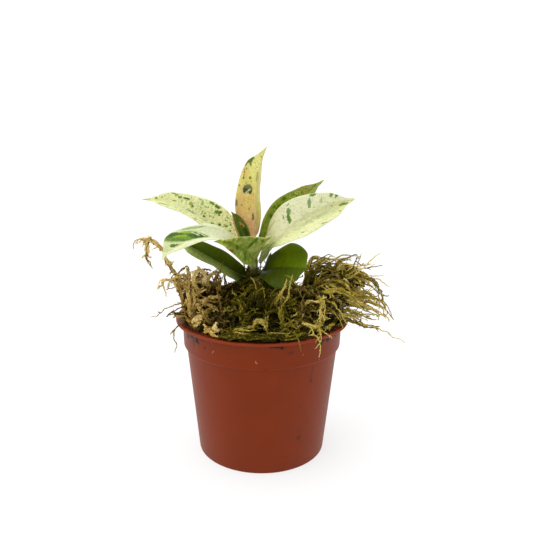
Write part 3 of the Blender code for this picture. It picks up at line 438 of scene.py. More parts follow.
# Beds of moss: the ends each is cut to, its wads by centre and half sizes, how many strands end in
# the air and how many arch, the length, lean and sag of the free ones, and the seed of the draw
BEDS = {
    "moss_left": dict(
        x=(-60, LEFT_CUT_X), y=(-60, 60), wads=[((-31, -5, 81), (8, 12, 9))], free=22, arches=12,
        length=(13, 25), lean=(-0.35, -0.25, 0.55), sag=0.05, seed=11),
    "moss_front": dict(
        x=(LEFT_CUT_X, RIGHT_CUT_X), y=(-60, BACK_CUT_Y), wads=[], free=20, arches=15,
        length=(11, 20), lean=(0.1, -0.6, 0.2), sag=0.14, seed=32),
    "moss_right": dict(
        x=(RIGHT_CUT_X, 80), y=(-60, 60), wads=[((33, -2, 84), (14, 17, 8)), ((42, 4, 90), (11, 11, 6))],
        free=28, arches=13, length=(16, 32), lean=(0.75, -0.1, 0.1), sag=0.10, seed=28),
    "moss_back": dict(
        x=(LEFT_CUT_X, RIGHT_CUT_X), y=(BACK_CUT_Y, 60), wads=[], free=13, arches=9,
        length=(12, 24), lean=(0.0, 0.5, 0.25), sag=0.12, seed=47),
}

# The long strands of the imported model, from root to tip
LONG_STRANDS = {
    "moss_left": [
        [(-38, -2, 84), (-44, -2, 93), (-49, -3, 102), (-51, -4, 109), (-57, -5, 113), (-64, -6, 113),
         (-65, -6, 108)],
        [(-57, -5, 113), (-58, -5, 109), (-58, -6, 104), (-55, -6, 99)],
        [(-36, -8, 82), (-44, -8, 94), (-38, -9, 100), (-37, -10, 96), (-38, -11, 90)],
        [(-34, -10, 82), (-42, -8, 96), (-46, -10, 95), (-47, -11, 90)],
        [(-30, -6, 85), (-35, -6, 95), (-31, -7, 99), (-27, -8, 97)],
        [(-33, -14, 78), (-39, -16, 77), (-47, -18, 78)],
        [(-32, -15, 78), (-39, -21, 75.5), (-43, -24, 70), (-42, -25, 61)],
    ],
    "moss_front": [
        [(8, -29, 76), (12, -38, 76.5), (16, -46.4, 75.5), (18, -48.5, 71)],
        [(7, -26, 78), (11, -28, 88), (13, -29, 95), (14, -29, 101)],
    ],
    "moss_right": [
        [(30, 10, 90), (40, 12, 101), (46, 11, 103), (53, 9, 102)],
        [(34, 6, 90), (42, 6, 98), (50, 4, 98), (57, 2, 100)],
        [(36, 2, 92), (47, 0, 96), (56, -2, 92), (61, -3, 86), (64, -4, 80), (68, -4, 74)],
        [(34, -4, 82), (46, -4, 84), (57, -7, 84), (63, -8, 79), (68, -8, 73)],
        [(30, -8, 78), (42, -10, 76.5), (52, -13, 72), (59, -14, 70), (66, -14, 66), (73, -14, 62)],
        [(21, -25, 76), (23, -36, 77), (25, -43.5, 76), (25.5, -48.5, 72), (26, -48.5, 66)],
        [(20.5, -12, 79), (20.5, -12.5, 88), (23.5, -11.5, 97), (24, -9, 106)],
    ],
}

# Locks of moss: how many strands follow a route, how far they spread, their tint from 0, dark and
# fresh, to 1, pale and dry, and the route from its root in the bed
LOCKS = {
    "moss_left": [
        (4, 0.35, 0.85, [(-38, -2, 84), (-44, -2, 93), (-49, -3, 102), (-51, -4, 109), (-57, -5, 113),
         (-62, -6, 113.5), (-64, -6, 111), (-64.5, -6, 107)]),
        (3, 0.35, 0.95, [(-52, -4, 110), (-57, -5, 113), (-58, -5, 109), (-58, -6, 104), (-55, -6, 99)]),
        (5, 1, 0.7, [(-36.5, -11.5, 83.5), (-37.5, -12.5, 89), (-36.5, -12.5, 95.5), (-37, -12.5, 100.5),
         (-38, -12.5, 101.5)]),
        (4, 0.7, 0.75, [(-36.5, -11.5, 84), (-37.5, -12.5, 91), (-38, -13, 97.5), (-42, -14, 96.5),
         (-46, -14.5, 93.5), (-48, -14.5, 89.5), (-48.5, -14, 86)]),
        (3, 0.6, 0.85, [(-37.5, -10, 82), (-42, -13, 89), (-44.5, -14, 94), (-48, -14, 95),
         (-50, -14, 93), (-49, -14, 88), (-48, -14, 84)]),
        (8, 1.7, 0.6, [(-38, -9.5, 72.5), (-39.5, -12.5, 79.5), (-41, -13.5, 86.5), (-42, -13.5, 91.5),
         (-43, -12.5, 96)]),
        (7, 1.6, 0.65, [(-34, -16.5, 73.5), (-34.5, -19.5, 82), (-35, -20.5, 89.5), (-34, -19.5, 95)]),
        (4, 0.8, 0.85, [(-31, -13, 86), (-33.5, -15, 92.5), (-33.5, -15, 96.5), (-31.5, -15, 99.5),
         (-29, -15, 99), (-28, -16, 95.5), (-29, -16, 92)]),
        (4, 0.9, 0.75, [(-25.5, -7, 86.5), (-27, -9, 92.5), (-25, -9, 96.5), (-22, -9, 98),
         (-19.5, -9, 96), (-18, -10, 94.5)]),
        (4, 0.9, 0.55, [(-21.5, 2.5, 84), (-23, 0.5, 90.5), (-24.5, 0.5, 94), (-28, -0.5, 93.5)]),
        (3, 0.6, 0.95, [(-36, -9.5, 74.5), (-39.5, -13.5, 76), (-43, -14.5, 76), (-47.5, -14.5, 76.5)]),
        (3, 0.6, 0.85, [(-36.5, -12, 73), (-40.5, -15, 73.5), (-44, -15, 73.5), (-46, -15, 73.5)]),
        (3, 0.5, 0.9, [(-28.5, -16.5, 83.5), (-25.5, -16.5, 82), (-23, -21.5, 81.5), (-21.5, -27, 79.5)]),
        (7, 0.8, 1, [(-34, -22, 75), (-33, -22, 77.5), (-31, -24, 78), (-31, -27.5, 77),
         (-33.5, -28, 76.5)]),
        (4, 0.7, 0.95, [(-19, -33.5, 75.5), (-22, -35, 75.5), (-22.5, -32, 77.5), (-21, -30, 78.5)]),
        (4, 0.8, 0.5, [(-33, -16.5, 85), (-29.5, -18.5, 85), (-26, -16.5, 86), (-22, -15, 85),
         (-19.5, -22, 83)]),
        (5, 1, 0.6, [(-36, -13, 78), (-34, -18, 83), (-30, -19.5, 82), (-27.5, -23, 79), (-28, -28, 76)]),
        (4, 0.9, 0.4, [(-25, -27.5, 76), (-27.5, -22, 79.5), (-25, -19.5, 82), (-20.5, -25, 81)]),
        (5, 1, 0.7, [(-36, -13, 84), (-34, -14, 89), (-30, -15, 89), (-27, -13, 91)]),
        (6, 1.4, 0.65, [(-34, -6, 84), (-37, -8, 90), (-34, -9, 94), (-29, -9, 93), (-26, -9, 89)]),
        (5, 1.3, 0.45, [(-30, 2, 84), (-34, 3, 91), (-31, 3, 95), (-26, 2, 93)]),
    ],
    "moss_front": [
        (8, 1.1, 0.1, [(-8, -5, 86), (-9, -5.5, 92), (-8, -5, 97), (-6, -4.5, 100)]),
        (7, 1, 0.25, [(-5, -5, 86), (-5.5, -6, 92), (-4, -5.5, 96), (-3, -5, 99.5)]),
        (6, 1.2, 0.2, [(-12, -9, 86), (-10, -10, 91), (-7, -9.5, 93.5), (-4, -9, 92)]),
        (7, 1, 0.15, [(1, -5, 86), (2, -6, 91.5), (1.5, -5.5, 95.5), (0, -5, 98.5)]),
        (4, 0.7, 0.78, [(5.5, -24, 84), (6, -27.5, 87), (7, -28.5, 90.5), (8.5, -28.5, 94)]),
        (4, 0.7, 0.8, [(5, -19, 85), (7.5, -23, 87.5), (8.5, -24, 90), (7, -23, 92)]),
        (1, 0.1, 1, [(9, -25, 84), (9.5, -28, 92), (11, -28.5, 96.5), (11.6, -28.5, 100),
         (10.8, -28.5, 102.4), (9.2, -28.5, 103)]),
        (7, 1.1, 0.25, [(-2, -27, 83), (-1.5, -28, 88), (0, -28.5, 91.5), (2.5, -28.5, 94.5)]),
        (7, 1.1, 0.3, [(2, -27, 82.5), (3, -28.5, 88), (5, -28.5, 91), (7, -28, 92.5)]),
        (6, 1, 0.35, [(-6, -25, 84), (-6, -27, 89), (-4.5, -27.5, 92.5), (-3, -27, 95)]),
        (6, 1.1, 0.15, [(-1, -20, 86), (-1, -21, 91), (0.5, -21, 94), (2, -20, 96)]),
        (4, 0.7, 0.35, [(1, -8, 87), (2.5, -10, 91.5), (4.5, -10.5, 93), (5.5, -11, 90.5)]),
        (4, 0.7, 0.5, [(-8, -4.5, 87), (-7, -6.5, 91.5), (-4, -7.5, 94), (-1, -7.5, 91),
         (-2.5, -6.5, 88)]),
        (7, 1.2, 0.45, [(5, -19, 85), (8, -24, 87.5), (12, -25, 87.5), (16, -25, 86)]),
        (7, 1.3, 0.4, [(9, -24, 83), (12, -26.5, 86), (16, -26.5, 86.5)]),
        (6, 1, 0.85, [(-4.5, -36.5, 76.5), (-3, -35.5, 79.5), (0, -36, 80), (2, -37.5, 78.5),
         (1, -39, 77)]),
        (4, 0.7, 0.6, [(-10, -32, 79), (-9.5, -28, 84), (-11, -23, 87), (-7.5, -17, 89),
         (-3.5, -10, 90)]),
        (3, 0.6, 0.7, [(-11, -21, 85.5), (-14, -15.5, 88), (-15.5, -8, 89.5)]),
        (4, 0.7, 0.65, [(9, -36, 76.5), (9.5, -34, 80.5), (8.5, -28, 84.5), (6.5, -22, 87)]),
        (7, 1.1, 0.7, [(0, -37, 74.5), (4.5, -40, 76), (9.5, -40.5, 76), (14, -38, 76)]),
        (7, 1.1, 0.6, [(-16, -34.5, 75), (-12, -38.5, 76), (-7.5, -40, 76), (-3, -40, 76)]),
        (5, 0.9, 0.4, [(-8, -14, 86.5), (-6.5, -9.5, 90), (-2, -6.5, 90), (0, -14, 89.5), (-2, -19, 88)]),
        (5, 0.9, 0.5, [(4, -21, 85), (7, -18, 88.5), (11, -15, 88.5), (13.5, -17.5, 87),
         (12.5, -23, 85)]),
        (5, 1, 0.3, [(-16, -28, 79.5), (-12.5, -30, 82), (-7.5, -32, 82), (-4, -31, 83), (0, -28.5, 84)]),
        (5, 1, 0.35, [(0, -33, 79), (3, -30, 83.5), (6.5, -28.5, 84), (11.5, -30, 82), (14, -32, 80)]),
        (6, 1.1, 0.7, [(8, -34.5, 76.5), (12, -35, 79), (15.5, -34.5, 78)]),
        (4, 0.8, 0.3, [(-8, -25, 83), (-5, -23.5, 86.5), (0, -22.5, 87.5), (3, -26.5, 85)]),
        (6, 1.6, 0.25, [(-12, -16, 84), (-13, -20, 88), (-9, -23, 88), (-5, -20, 90)]),
    ],
    "moss_right": [
        (4, 0.8, 0.5, [(22, 4, 88), (24, 6, 97), (28, 8, 101.5), (34, 9, 101.5), (40, 11, 101),
         (46, 11, 102)]),
        (4, 0.5, 0.45, [(34, 3, 90), (38, 4, 97), (43, 6, 101), (49.5, 7, 102.5), (53, 7, 101.5)]),
        (4, 0.7, 0.95, [(36, 1, 92), (41, 2, 98), (46, 3, 98.5), (51, 3, 98), (55, 3, 100), (57, 2, 99)]),
        (4, 0.6, 0.05, [(38, 0, 95), (45.5, 0, 95), (50.5, -1, 94), (55, -1, 93), (59, -2, 89.5),
         (60.5, -2, 85.5), (63, -3, 80.5), (65.5, -3, 77.5), (68, -4, 74.5)]),
        (3, 0.5, 0.9, [(49, -1, 93), (54, -1, 92), (56, -2, 90), (58, -3, 88.5)]),
        (3, 0.6, 0.8, [(44, -2, 90), (48, -2, 88), (52.5, -3, 86), (56.5, -3, 87.5), (57.5, -3, 90)]),
        (6, 1.2, 0.6, [(38, -2, 93), (44, -4, 94), (48, -6, 90), (52, -7, 85), (56.5, -7, 81.5)]),
        (8, 1.5, 0.55, [(32, -4, 90), (39.5, -8, 92.5), (44.5, -9, 88.5), (49.5, -10, 85), (55, -8, 83)]),
        (8, 1.6, 0.65, [(28, -6, 88), (35, -11, 90), (41, -12, 87), (47.5, -11, 83), (53, -10, 79.5),
         (58.5, -9, 77)]),
        (9, 1.5, 0.62, [(42, -5, 84), (48, -7, 83.5), (54, -7, 83.5), (60.5, -7, 81.5), (63, -7, 78),
         (62.5, -7, 74)]),
        (9, 1.6, 0.58, [(40, -7, 82), (46, -8, 81.5), (52, -9, 80.5), (58, -9, 78.5), (62, -9, 75.5),
         (61, -8, 72)]),
        (8, 1.2, 0.62, [(27, -13, 83), (35, -14, 82), (43, -12, 79), (50.5, -12, 76.5), (56, -11, 74.5),
         (60, -10, 73)]),
        (6, 1.1, 0.7, [(30, -12, 80), (39, -13, 78), (46.5, -12, 76), (53, -11, 73), (57, -10, 71)]),
        (4, 0.6, 0.3, [(28, -12, 78), (38, -13, 76.5), (47, -14, 73), (56.5, -14, 70.5), (63, -14, 67.5),
         (69, -14, 65.5)]),
        (3, 0.5, 1, [(20.5, -17, 82), (23, -20, 86), (27, -21.5, 86), (30.5, -20, 87.5), (32, -18, 90)]),
        (8, 1.2, 0.6, [(27, -13, 86), (28.5, -20, 86), (28.5, -24, 82), (28, -30, 79), (26.5, -34, 76)]),
        (4, 0.7, 0.6, [(25, -24, 77), (27, -32, 78.5), (27, -38, 77.5), (26, -43.5, 76),
         (25.5, -46.8, 73)]),
        (6, 1, 0.7, [(19, -27, 77), (21, -33, 78), (25, -33.5, 77.5), (29, -30, 77.5)]),
        (7, 1.4, 0.3, [(24, -10, 86), (27, -9, 92), (31, -8, 94.5), (36, -11, 93)]),
        (8, 1.7, 0.3, [(25, -1, 88), (27, 1, 95), (32, 2, 98), (38, 2, 98), (43, 0, 95)]),
        (8, 1.7, 0.4, [(24, 3, 88), (26, 5, 96), (32, 7, 99.5), (39, 8, 99), (45, 7, 97)]),
        (8, 1.7, 0.5, [(30, 2, 90), (36, 5, 96.5), (43, 6, 98), (49, 5, 96), (53, 3, 92)]),
        (6, 1.4, 0.6, [(29, -12, 88), (33.5, -17, 89.5), (38, -16, 90), (43, -15, 86.5), (47, -13, 82)]),
        (5, 1.2, 0.4, [(22, -19, 80), (27, -18, 82.5), (32, -18, 81), (36, -18, 81)]),
        (7, 1.8, 0.5, [(34, 8, 88), (41, 10, 94), (48, 9, 95), (54, 6, 92), (58, 3, 87)]),
        (6, 1.8, 0.5, [(32, 12, 82), (38, 16, 86), (44, 18, 84), (50, 17, 79), (53, 15, 73)]),
        (6, 1.8, 0.5, [(28, 16, 82), (31, 22, 86), (36, 26, 83), (40, 28, 77)]),
    ],
    "moss_back": [
        (6, 1.2, 0.1, [(-7, 7, 86), (-7.5, 5.5, 92), (-6.5, 4.5, 97), (-4.5, 4, 99)]),
        (6, 1.2, 0.2, [(3, 7, 86), (3.5, 5.5, 92), (2.5, 4.5, 97), (0.5, 4, 99)]),
        (5, 1.4, 0.5, [(-6, 14, 85), (-8, 18, 91), (-4, 22, 92), (0, 26, 88)]),
        (5, 1.4, 0.4, [(6, 14, 85), (10, 18, 90), (14, 22, 88), (15, 28, 82)]),
        (6, 1.4, 0.6, [(-12, 20, 82), (-14, 26, 86), (-10, 32, 83), (-8, 38, 77)]),
        (6, 1.2, 0.7, [(0, 32, 77), (3, 38, 79), (4, 43, 77), (5, 46.5, 73)]),
        (6, 1.2, 0.6, [(-12, 30, 76), (-13, 36, 78), (-11, 41, 76.5), (-6, 43, 75.5)]),
        (6, 1.2, 0.5, [(8, 28, 79), (12, 34, 81), (10, 40, 78), (5, 42, 76)]),
    ],
}

# How each bed looks: strands that creep over it, strands that end in the air, locks on the pot's
# rim, how thick its locks are, how far its leaflets stand apart, the tints of its strands, the
# colour of the painted shade deep inside it, and its colours from dark and fresh to pale and dry
MOSS_LOOKS = {
    "moss_left": dict(
        creeping=110, loose=5, rim=7, bulk=1.25, sparse=1.0, tints=(0.0, 0.5), shade=(40, 30, 2),
        tones=[(78, 62, 10), (134, 106, 36), (190, 156, 74), (226, 196, 112), (246, 222, 150)]),
    "moss_front": dict(
        creeping=150, loose=6, rim=34, bulk=1.1, sparse=1.3, tints=(0.1, 0.9), shade=(24, 20, 0),
        tones=[(48, 44, 2), (74, 68, 4), (104, 95, 12), (148, 132, 38), (214, 192, 98)]),
    "moss_right": dict(
        creeping=130, loose=8, rim=12, bulk=1.12, sparse=1.75, tints=(0.1, 0.9), shade=(38, 30, 0),
        tones=[(84, 86, 6), (134, 104, 50), (174, 158, 40), (212, 188, 102), (244, 226, 144)]),
    "moss_back": dict(
        creeping=150, loose=10, rim=20, bulk=1.1, sparse=1.0, tints=(0.1, 0.9), shade=(36, 28, 2),
        tones=[(76, 70, 10), (110, 100, 20), (144, 130, 34), (182, 162, 70), (222, 200, 120)]),
}

# Soft lights: name, the side each shines from, its share of the strength, and its width in degrees
SUNS = [("top_light", (-0.15, 0.1, 1.0), 0.65, 60), ("key_light", (-0.6, -0.5, 0.9), 0.35, 50)]

# Camera: place, and pitch, yaw and roll in degrees
CAMERA_PLACE = (0.0, -298.845, 166.86)
CAMERA_TURNS = (12.87, 0.40, 0.44)


def linear(colour):
    """A colour as it looks on a screen, from 0 to 255, as the surface colour that gives it."""
    light = Color([part / 255 for part in colour]).from_srgb_to_scene_linear()
    return (*(part / LIGHT_LEVEL for part in light), 1.0)


def smooth_step(low, high, value):
    """Rise softly from 0 at low to 1 at high."""
    share = min(max((value - low) / (high - low), 0.0), 1.0)
    return share * share * (3.0 - 2.0 * share)


def between(values, share, places=None):
    """Read values at a share of the way along, evenly spaced where no places are given."""
    if places is None:
        places = np.linspace(0.0, 1.0, len(values))
    return float(np.interp(share, places, values))


def drawn(rng, low=-1, high=1):
    """A vector with each part drawn between two ends."""
    return Vector([rng.uniform(low, high) for _ in range(3)])


class Signal:
    """An output in a node tree, with sums on it written as plain ones."""

    def __init__(self, tree, socket):
        self.tree = tree
        self.socket = socket

    def sum(self, operation, *others):
        """Put this output and others through a Math node, or Vector Math where this is a vector."""
        is_vector = self.socket.type in ("VECTOR", "RGBA")
        return (self.tree.vector if is_vector else self.tree.sum)(operation, self, *others)

    def __add__(self, other):
        return self.sum("ADD", other)

    def __sub__(self, other):
        return self.sum("SUBTRACT", other)

    def __mul__(self, other):
        return self.sum("MULTIPLY", other)

    def __truediv__(self, other):
        return self.sum("DIVIDE", other)

    def __abs__(self):
        return self.sum("ABSOLUTE")

    def rise(self, low, high, start=0.0, end=1.0):
        """Smooth change from start to end as this goes from low to high."""
        return self.tree.get("ShaderNodeMapRange", {0: self, 1: low, 2: high, 3: start, 4: end},
                             interpolation_type="SMOOTHSTEP")


class Tree:
    """Short ways to add nodes to a shader or geometry tree."""

    def __init__(self, tree):
        self.tree = tree

    def node(self, kind, inputs=None, **options):
        """Add a node, set its options, and link or set its inputs."""
        made = self.tree.nodes.new(kind)
        for option, value in options.items():
            setattr(made, option, value)
        for key, value in (inputs or {}).items():
            self.feed(made.inputs[key], value)
        return made

    def get(self, kind, inputs=None, out=0, **options):
        """Add a node and give one of its outputs."""
        return Signal(self, self.node(kind, inputs, **options).outputs[out])

    def feed(self, socket, value):
        """Link an output to an input, or set the input's own value."""
        if isinstance(value, Signal):
            self.tree.links.new(value.socket, socket)
        else:
            socket.default_value = value

    def sum(self, operation, *values):
        """Result of a Math node."""
        return self.get("ShaderNodeMath", dict(enumerate(values)), operation=operation)

    def vector(self, operation, *values):
        """Result of a Vector Math node."""
        out = 1 if operation == "LENGTH" else 0
        return self.get("ShaderNodeVectorMath", dict(enumerate(values)), out, operation=operation)

    def parts(self, vector):
        """The three numbers of a vector."""
        outputs = self.node("ShaderNodeSeparateXYZ", {0: vector}).outputs
        return [Signal(self, output) for output in outputs]

    def joined(self, *parts):
        """A vector made of three numbers."""
        return self.get("ShaderNodeCombineXYZ", dict(enumerate(parts)))

    def noise(self, vector, scale, detail=2.0, roughness=0.5, out="Fac"):
        """Noise from about 0 to 1."""
        return self.get("ShaderNodeTexNoise", {
            "Vector": vector, "Scale": scale, "Detail": detail, "Roughness": roughness}, out)

    def wobble(self, vector, scale, detail=2.0, roughness=0.5):
        """Noise on each axis from about -0.5 to 0.5."""
        return self.noise(vector, scale, detail, roughness, "Color") - (0.5, 0.5, 0.5)


class Paint(Tree):
    """One material with a Principled surface, painted in coats over a base colour."""

    def __init__(self, name, base=None, **fixed):
        self.material = bpy.data.materials.new(name)
        self.material.use_nodes = True
        super().__init__(self.material.node_tree)
        self.surface = self.tree.nodes["Principled BSDF"]
        for socket, value in fixed.items():
            self.surface.inputs[socket.replace("_", " ")].default_value = value
        self.colour = base
        self.place = self.get("ShaderNodeTexCoord", out="Object") * ((1 / MM,) * 3)

    def coat(self, share, colour, strength=1.0):
        """Lay a colour over the others as far as a share says."""
        if strength != 1.0:
            share = share * strength
        self.colour = self.get("ShaderNodeMix", {0: share, 6: self.colour, 7: colour}, 2,
                               data_type="RGBA")

    def attribute(self, name, out="Fac"):
        """A named attribute of the mesh."""
        return self.get("ShaderNodeAttribute", out=out, attribute_name=name)

    def patch(self, vector, x, y, half_x, half_y, softness, turn=0):
        """1 inside a turned oval about x and y, and 0 outside it."""
        local = self.get("ShaderNodeMapping", {
            "Vector": vector, "Location": (x, y, 0), "Rotation": (0, 0, math.radians(turn)),
            "Scale": (half_x, half_y, 1)}, vector_type="TEXTURE")
        return self.vector("LENGTH", local).rise(1 - softness, 1 + softness, 1.0, 0.0)

    def ramp(self, value, stops):
        """Colour that changes evenly between stops."""
        made = self.node("ShaderNodeValToRGB", {0: value})
        elements = made.color_ramp.elements
        while len(elements) < len(stops):
            elements.new(1.0)
        for element, (position, colour) in zip(elements, stops):
            element.position = position
            element.color = colour
        return Signal(self, made.outputs[0])

    def bump(self, height, distance):
        """Raise the surface by a height, the distance in millimetres."""
        self.feed(self.surface.inputs["Normal"], self.get("ShaderNodeBump", {
            "Height": height, "Distance": distance * MM}))

    def finish(self, **varied):
        """Give the surface its colour and what else varies, and give the material."""
        for name, value in {"Base Color": self.colour, **varied}.items():
            self.feed(self.surface.inputs[name], value)
        return self.material


class Growth(Tree):
    """One geometry tree with named inputs, ending in Realize Instances and Set Material."""

    def __init__(self, name, inputs):
        tree = bpy.data.node_groups.new(name, "GeometryNodeTree")
        super().__init__(tree)
        for way, labels in (("INPUT", {"Geometry": "Geometry", **inputs}),
                            ("OUTPUT", {"Geometry": "Geometry"})):
            for label, kind in labels.items():
                tree.interface.new_socket(label, in_out=way, socket_type=f"NodeSocket{kind}")
        given = self.node("NodeGroupInput").outputs
        self.inputs = {output.name: Signal(self, output) for output in given}

    def random(self, low, high, seed, identity):
        """A random number for each element."""
        return self.get("FunctionNodeRandomValue", {
            "Min": low, "Max": high, "ID": identity, "Seed": seed}, 1)

    def turned(self, rotation, axis, angle):
        """A rotation turned further about one of its own axes."""
        by = self.get("FunctionNodeAxisAngleToRotation", {"Axis": axis, "Angle": angle})
        return self.get("FunctionNodeRotateRotation", {0: rotation, 1: by}, rotation_space="LOCAL")

    def named(self, name):
        """A named number of each element."""
        return self.get("GeometryNodeInputNamedAttribute", {"Name": name})

    def store(self, geometry, **values):
        """Keep numbers on each point under their names."""
        for name, value in values.items():
            geometry = self.get("GeometryNodeStoreNamedAttribute", {
                "Geometry": geometry, "Name": name, "Value": value})
        return geometry

    def placed(self, points, shape, rotation, scale):
        """A shape on each point."""
        return self.get("GeometryNodeInstanceOnPoints", {
            "Points": points, "Instance": shape, "Rotation": rotation, "Scale": scale})

    def tilted_leaflets(self, points, leaflet, facing, turn, tilt, size):
        """A leaflet on each point, turned about the way it faces and tilted away from it."""
        facing = self.turned(self.turned(facing, (0, 0, 1), turn), (1, 0, 0), tilt)
        return self.placed(points, leaflet, facing, self.joined(size, size, size))

    def end(self, *shapes):
        """Join and realize the shapes, set the material and give the tree."""
        joined = self.node("GeometryNodeJoinGeometry")
        for shape in shapes:
            self.feed(joined.inputs[0], shape)
        solid = self.get("GeometryNodeRealizeInstances", {0: Signal(self, joined.outputs[0])})
        finished = self.get("GeometryNodeSetMaterial", {
            "Geometry": solid, "Material": self.inputs["Material"]})
        self.feed(self.node("NodeGroupOutput").inputs[0], finished)
        return self.tree


def put(name, data, collection=None):
    """Put an object in the scene, or in one collection of it."""
    piece = bpy.data.objects.new(name, data)
    (collection or bpy.context.scene.collection).objects.link(piece)
    return piece


def taken_mesh(piece):
    """The mesh that an object's modifiers give. The object itself goes."""
    bpy.context.view_layer.update()
    graph = bpy.context.evaluated_depsgraph_get()
    mesh = bpy.data.meshes.new_from_object(piece.evaluated_get(graph))
    bpy.data.objects.remove(piece, do_unlink=True)
    return mesh


def grown_mesh(name, base, tree, values):
    """Run a geometry tree on a mesh and give the plain mesh."""
    guide = put(name + "_guide", base)
    modifier = guide.modifiers.new("growth", "NODES")
    modifier.node_group = tree
    for item in tree.interface.items_tree:
        if item.in_out == "INPUT" and item.name in values:
            modifier[item.identifier] = values[item.name]
    return taken_mesh(guide)


def changed_mesh(mesh, operation, others):
    """Join other meshes to a mesh, cut them from it, or keep what it shares with them."""
    base = put("base", mesh)
    operands = bpy.data.collections.new("operands")
    bpy.context.scene.collection.children.link(operands)
    for other in others:
        put("operand", other, operands)
    change = base.modifiers.new("change", "BOOLEAN")
    change.operation = operation
    change.operand_type = "COLLECTION"
    change.collection = operands
    result = taken_mesh(base)
    for operand in list(operands.objects):
        bpy.data.objects.remove(operand, do_unlink=True)
    bpy.data.collections.remove(operands)
    return result


def show_piece(name, mesh, material, slot, *nodes):
    """Put a finished mesh in the scene as a piece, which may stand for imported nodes."""
    mesh.name = name
    mesh.materials.clear()
    mesh.materials.append(material)
    piece = put(name, mesh)
    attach(piece, "root")
    if nodes:
        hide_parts(*nodes)


def mesh_from_bmesh(name, shape, is_smooth=False):
    """Turn a bmesh into a mesh and free it."""
    mesh = bpy.data.meshes.new(name)
    shape.to_mesh(mesh)
    shape.free()
    if is_smooth:
        mesh.shade_smooth()
    return mesh


def tree_of_mesh(mesh):
    """Search tree over the faces of a mesh."""
    corners = [vertex.co for vertex in mesh.vertices]
    return BVHTree.FromPolygons(corners, [tuple(face.vertices) for face in mesh.polygons])


def turned_mesh(name, profile, steps):
    """Turn a profile of radius and height about Z with a Screw modifier."""
    shape = bmesh.new()
    corners = [shape.verts.new((radius * MM, 0.0, height * MM)) for radius, height in profile]
    for first, second in zip(corners, corners[1:]):
        shape.edges.new((first, second))
    piece = put(name, mesh_from_bmesh(name, shape))
    screw = piece.modifiers.new("turn", "SCREW")
    screw.steps = steps
    screw.render_steps = steps
    screw.use_merge_vertices = True
    screw.merge_threshold = 0.000001
    return taken_mesh(piece)


def with_attribute(mesh, name, values, kind="FLOAT", field="value"):
    """Give a mesh a point attribute from an array of numbers or vectors."""
    attribute = mesh.attributes.new(name, kind, "POINT")
    attribute.data.foreach_set(field, np.asarray(values, np.float32).ravel())


def rounded_profile(corners, radius, steps=3):
    """A profile whose corners are rounded by short curves."""
    points = [corners[0]]
    for before, corner, after in zip(corners, corners[1:], corners[2:]):
        before, corner, after = Vector(before), Vector(corner), Vector(after)
        reach = min(radius, (before - corner).length * 0.45, (after - corner).length * 0.45)
        start = corner + (before - corner).normalized() * reach
        end = corner + (after - corner).normalized() * reach
        for step in range(steps + 1):
            share = step / steps
            points.append(tuple(
                start * (1 - share) ** 2 + corner * 2 * share * (1 - share) + end * share ** 2))
    return points + [corners[-1]]


def inner_wall_radius(height):
    """Radius of the pot's inside at a height."""
    if height > BAND_LOW_Z:
        return BAND_LOW_RADIUS - WALL
    return BASE_RADIUS + (BODY_TOP_RADIUS - BASE_RADIUS) * height / BAND_LOW_Z - WALL


def pot_profile():
    """Half section of the pot, from the middle of its floor over the rim to its underside."""
    rim_low = POT_HEIGHT - RIM_THICKNESS
    return rounded_profile([
        (0.0, FLOOR), (inner_wall_radius(FLOOR), FLOOR),
        (inner_wall_radius(BAND_LOW_Z - WALL), BAND_LOW_Z - WALL),
        (inner_wall_radius(BAND_LOW_Z + WALL), BAND_LOW_Z + 0.2),
        (BAND_TOP_RADIUS - WALL, POT_HEIGHT), (RIM_RADIUS, POT_HEIGHT),
        (RIM_RADIUS, rim_low), (BAND_TOP_RADIUS, rim_low), (BAND_LOW_RADIUS, BAND_LOW_Z),
        (BODY_TOP_RADIUS, BAND_LOW_Z - 0.5), (BASE_RADIUS, 0.0), (0.0, 0.0)], CORNER_ROUNDING)


def pot_mesh():
    """The pot, with drainage holes in its floor."""
    cutters = []
    for index in range(DRAIN_HOLES):
        angle = 2 * math.pi * (index + 0.5) / DRAIN_HOLES
        place = Vector((DRAIN_RING * math.cos(angle), DRAIN_RING * math.sin(angle), FLOOR / 2))
        cutter = bmesh.new()
        bmesh.ops.create_cone(
            cutter, cap_ends=True, segments=32, radius1=DRAIN_RADIUS * MM,
            radius2=DRAIN_RADIUS * MM, depth=4 * FLOOR * MM)
        bmesh.ops.translate(cutter, vec=place * MM, verts=cutter.verts)
        cutters.append(mesh_from_bmesh("drain_cutter", cutter))
    mesh = changed_mesh(turned_mesh("pot", pot_profile(), 144), "DIFFERENCE", cutters)
    mesh.shade_smooth()
    mesh.set_sharp_from_angle(angle=math.radians(50))
    return mesh


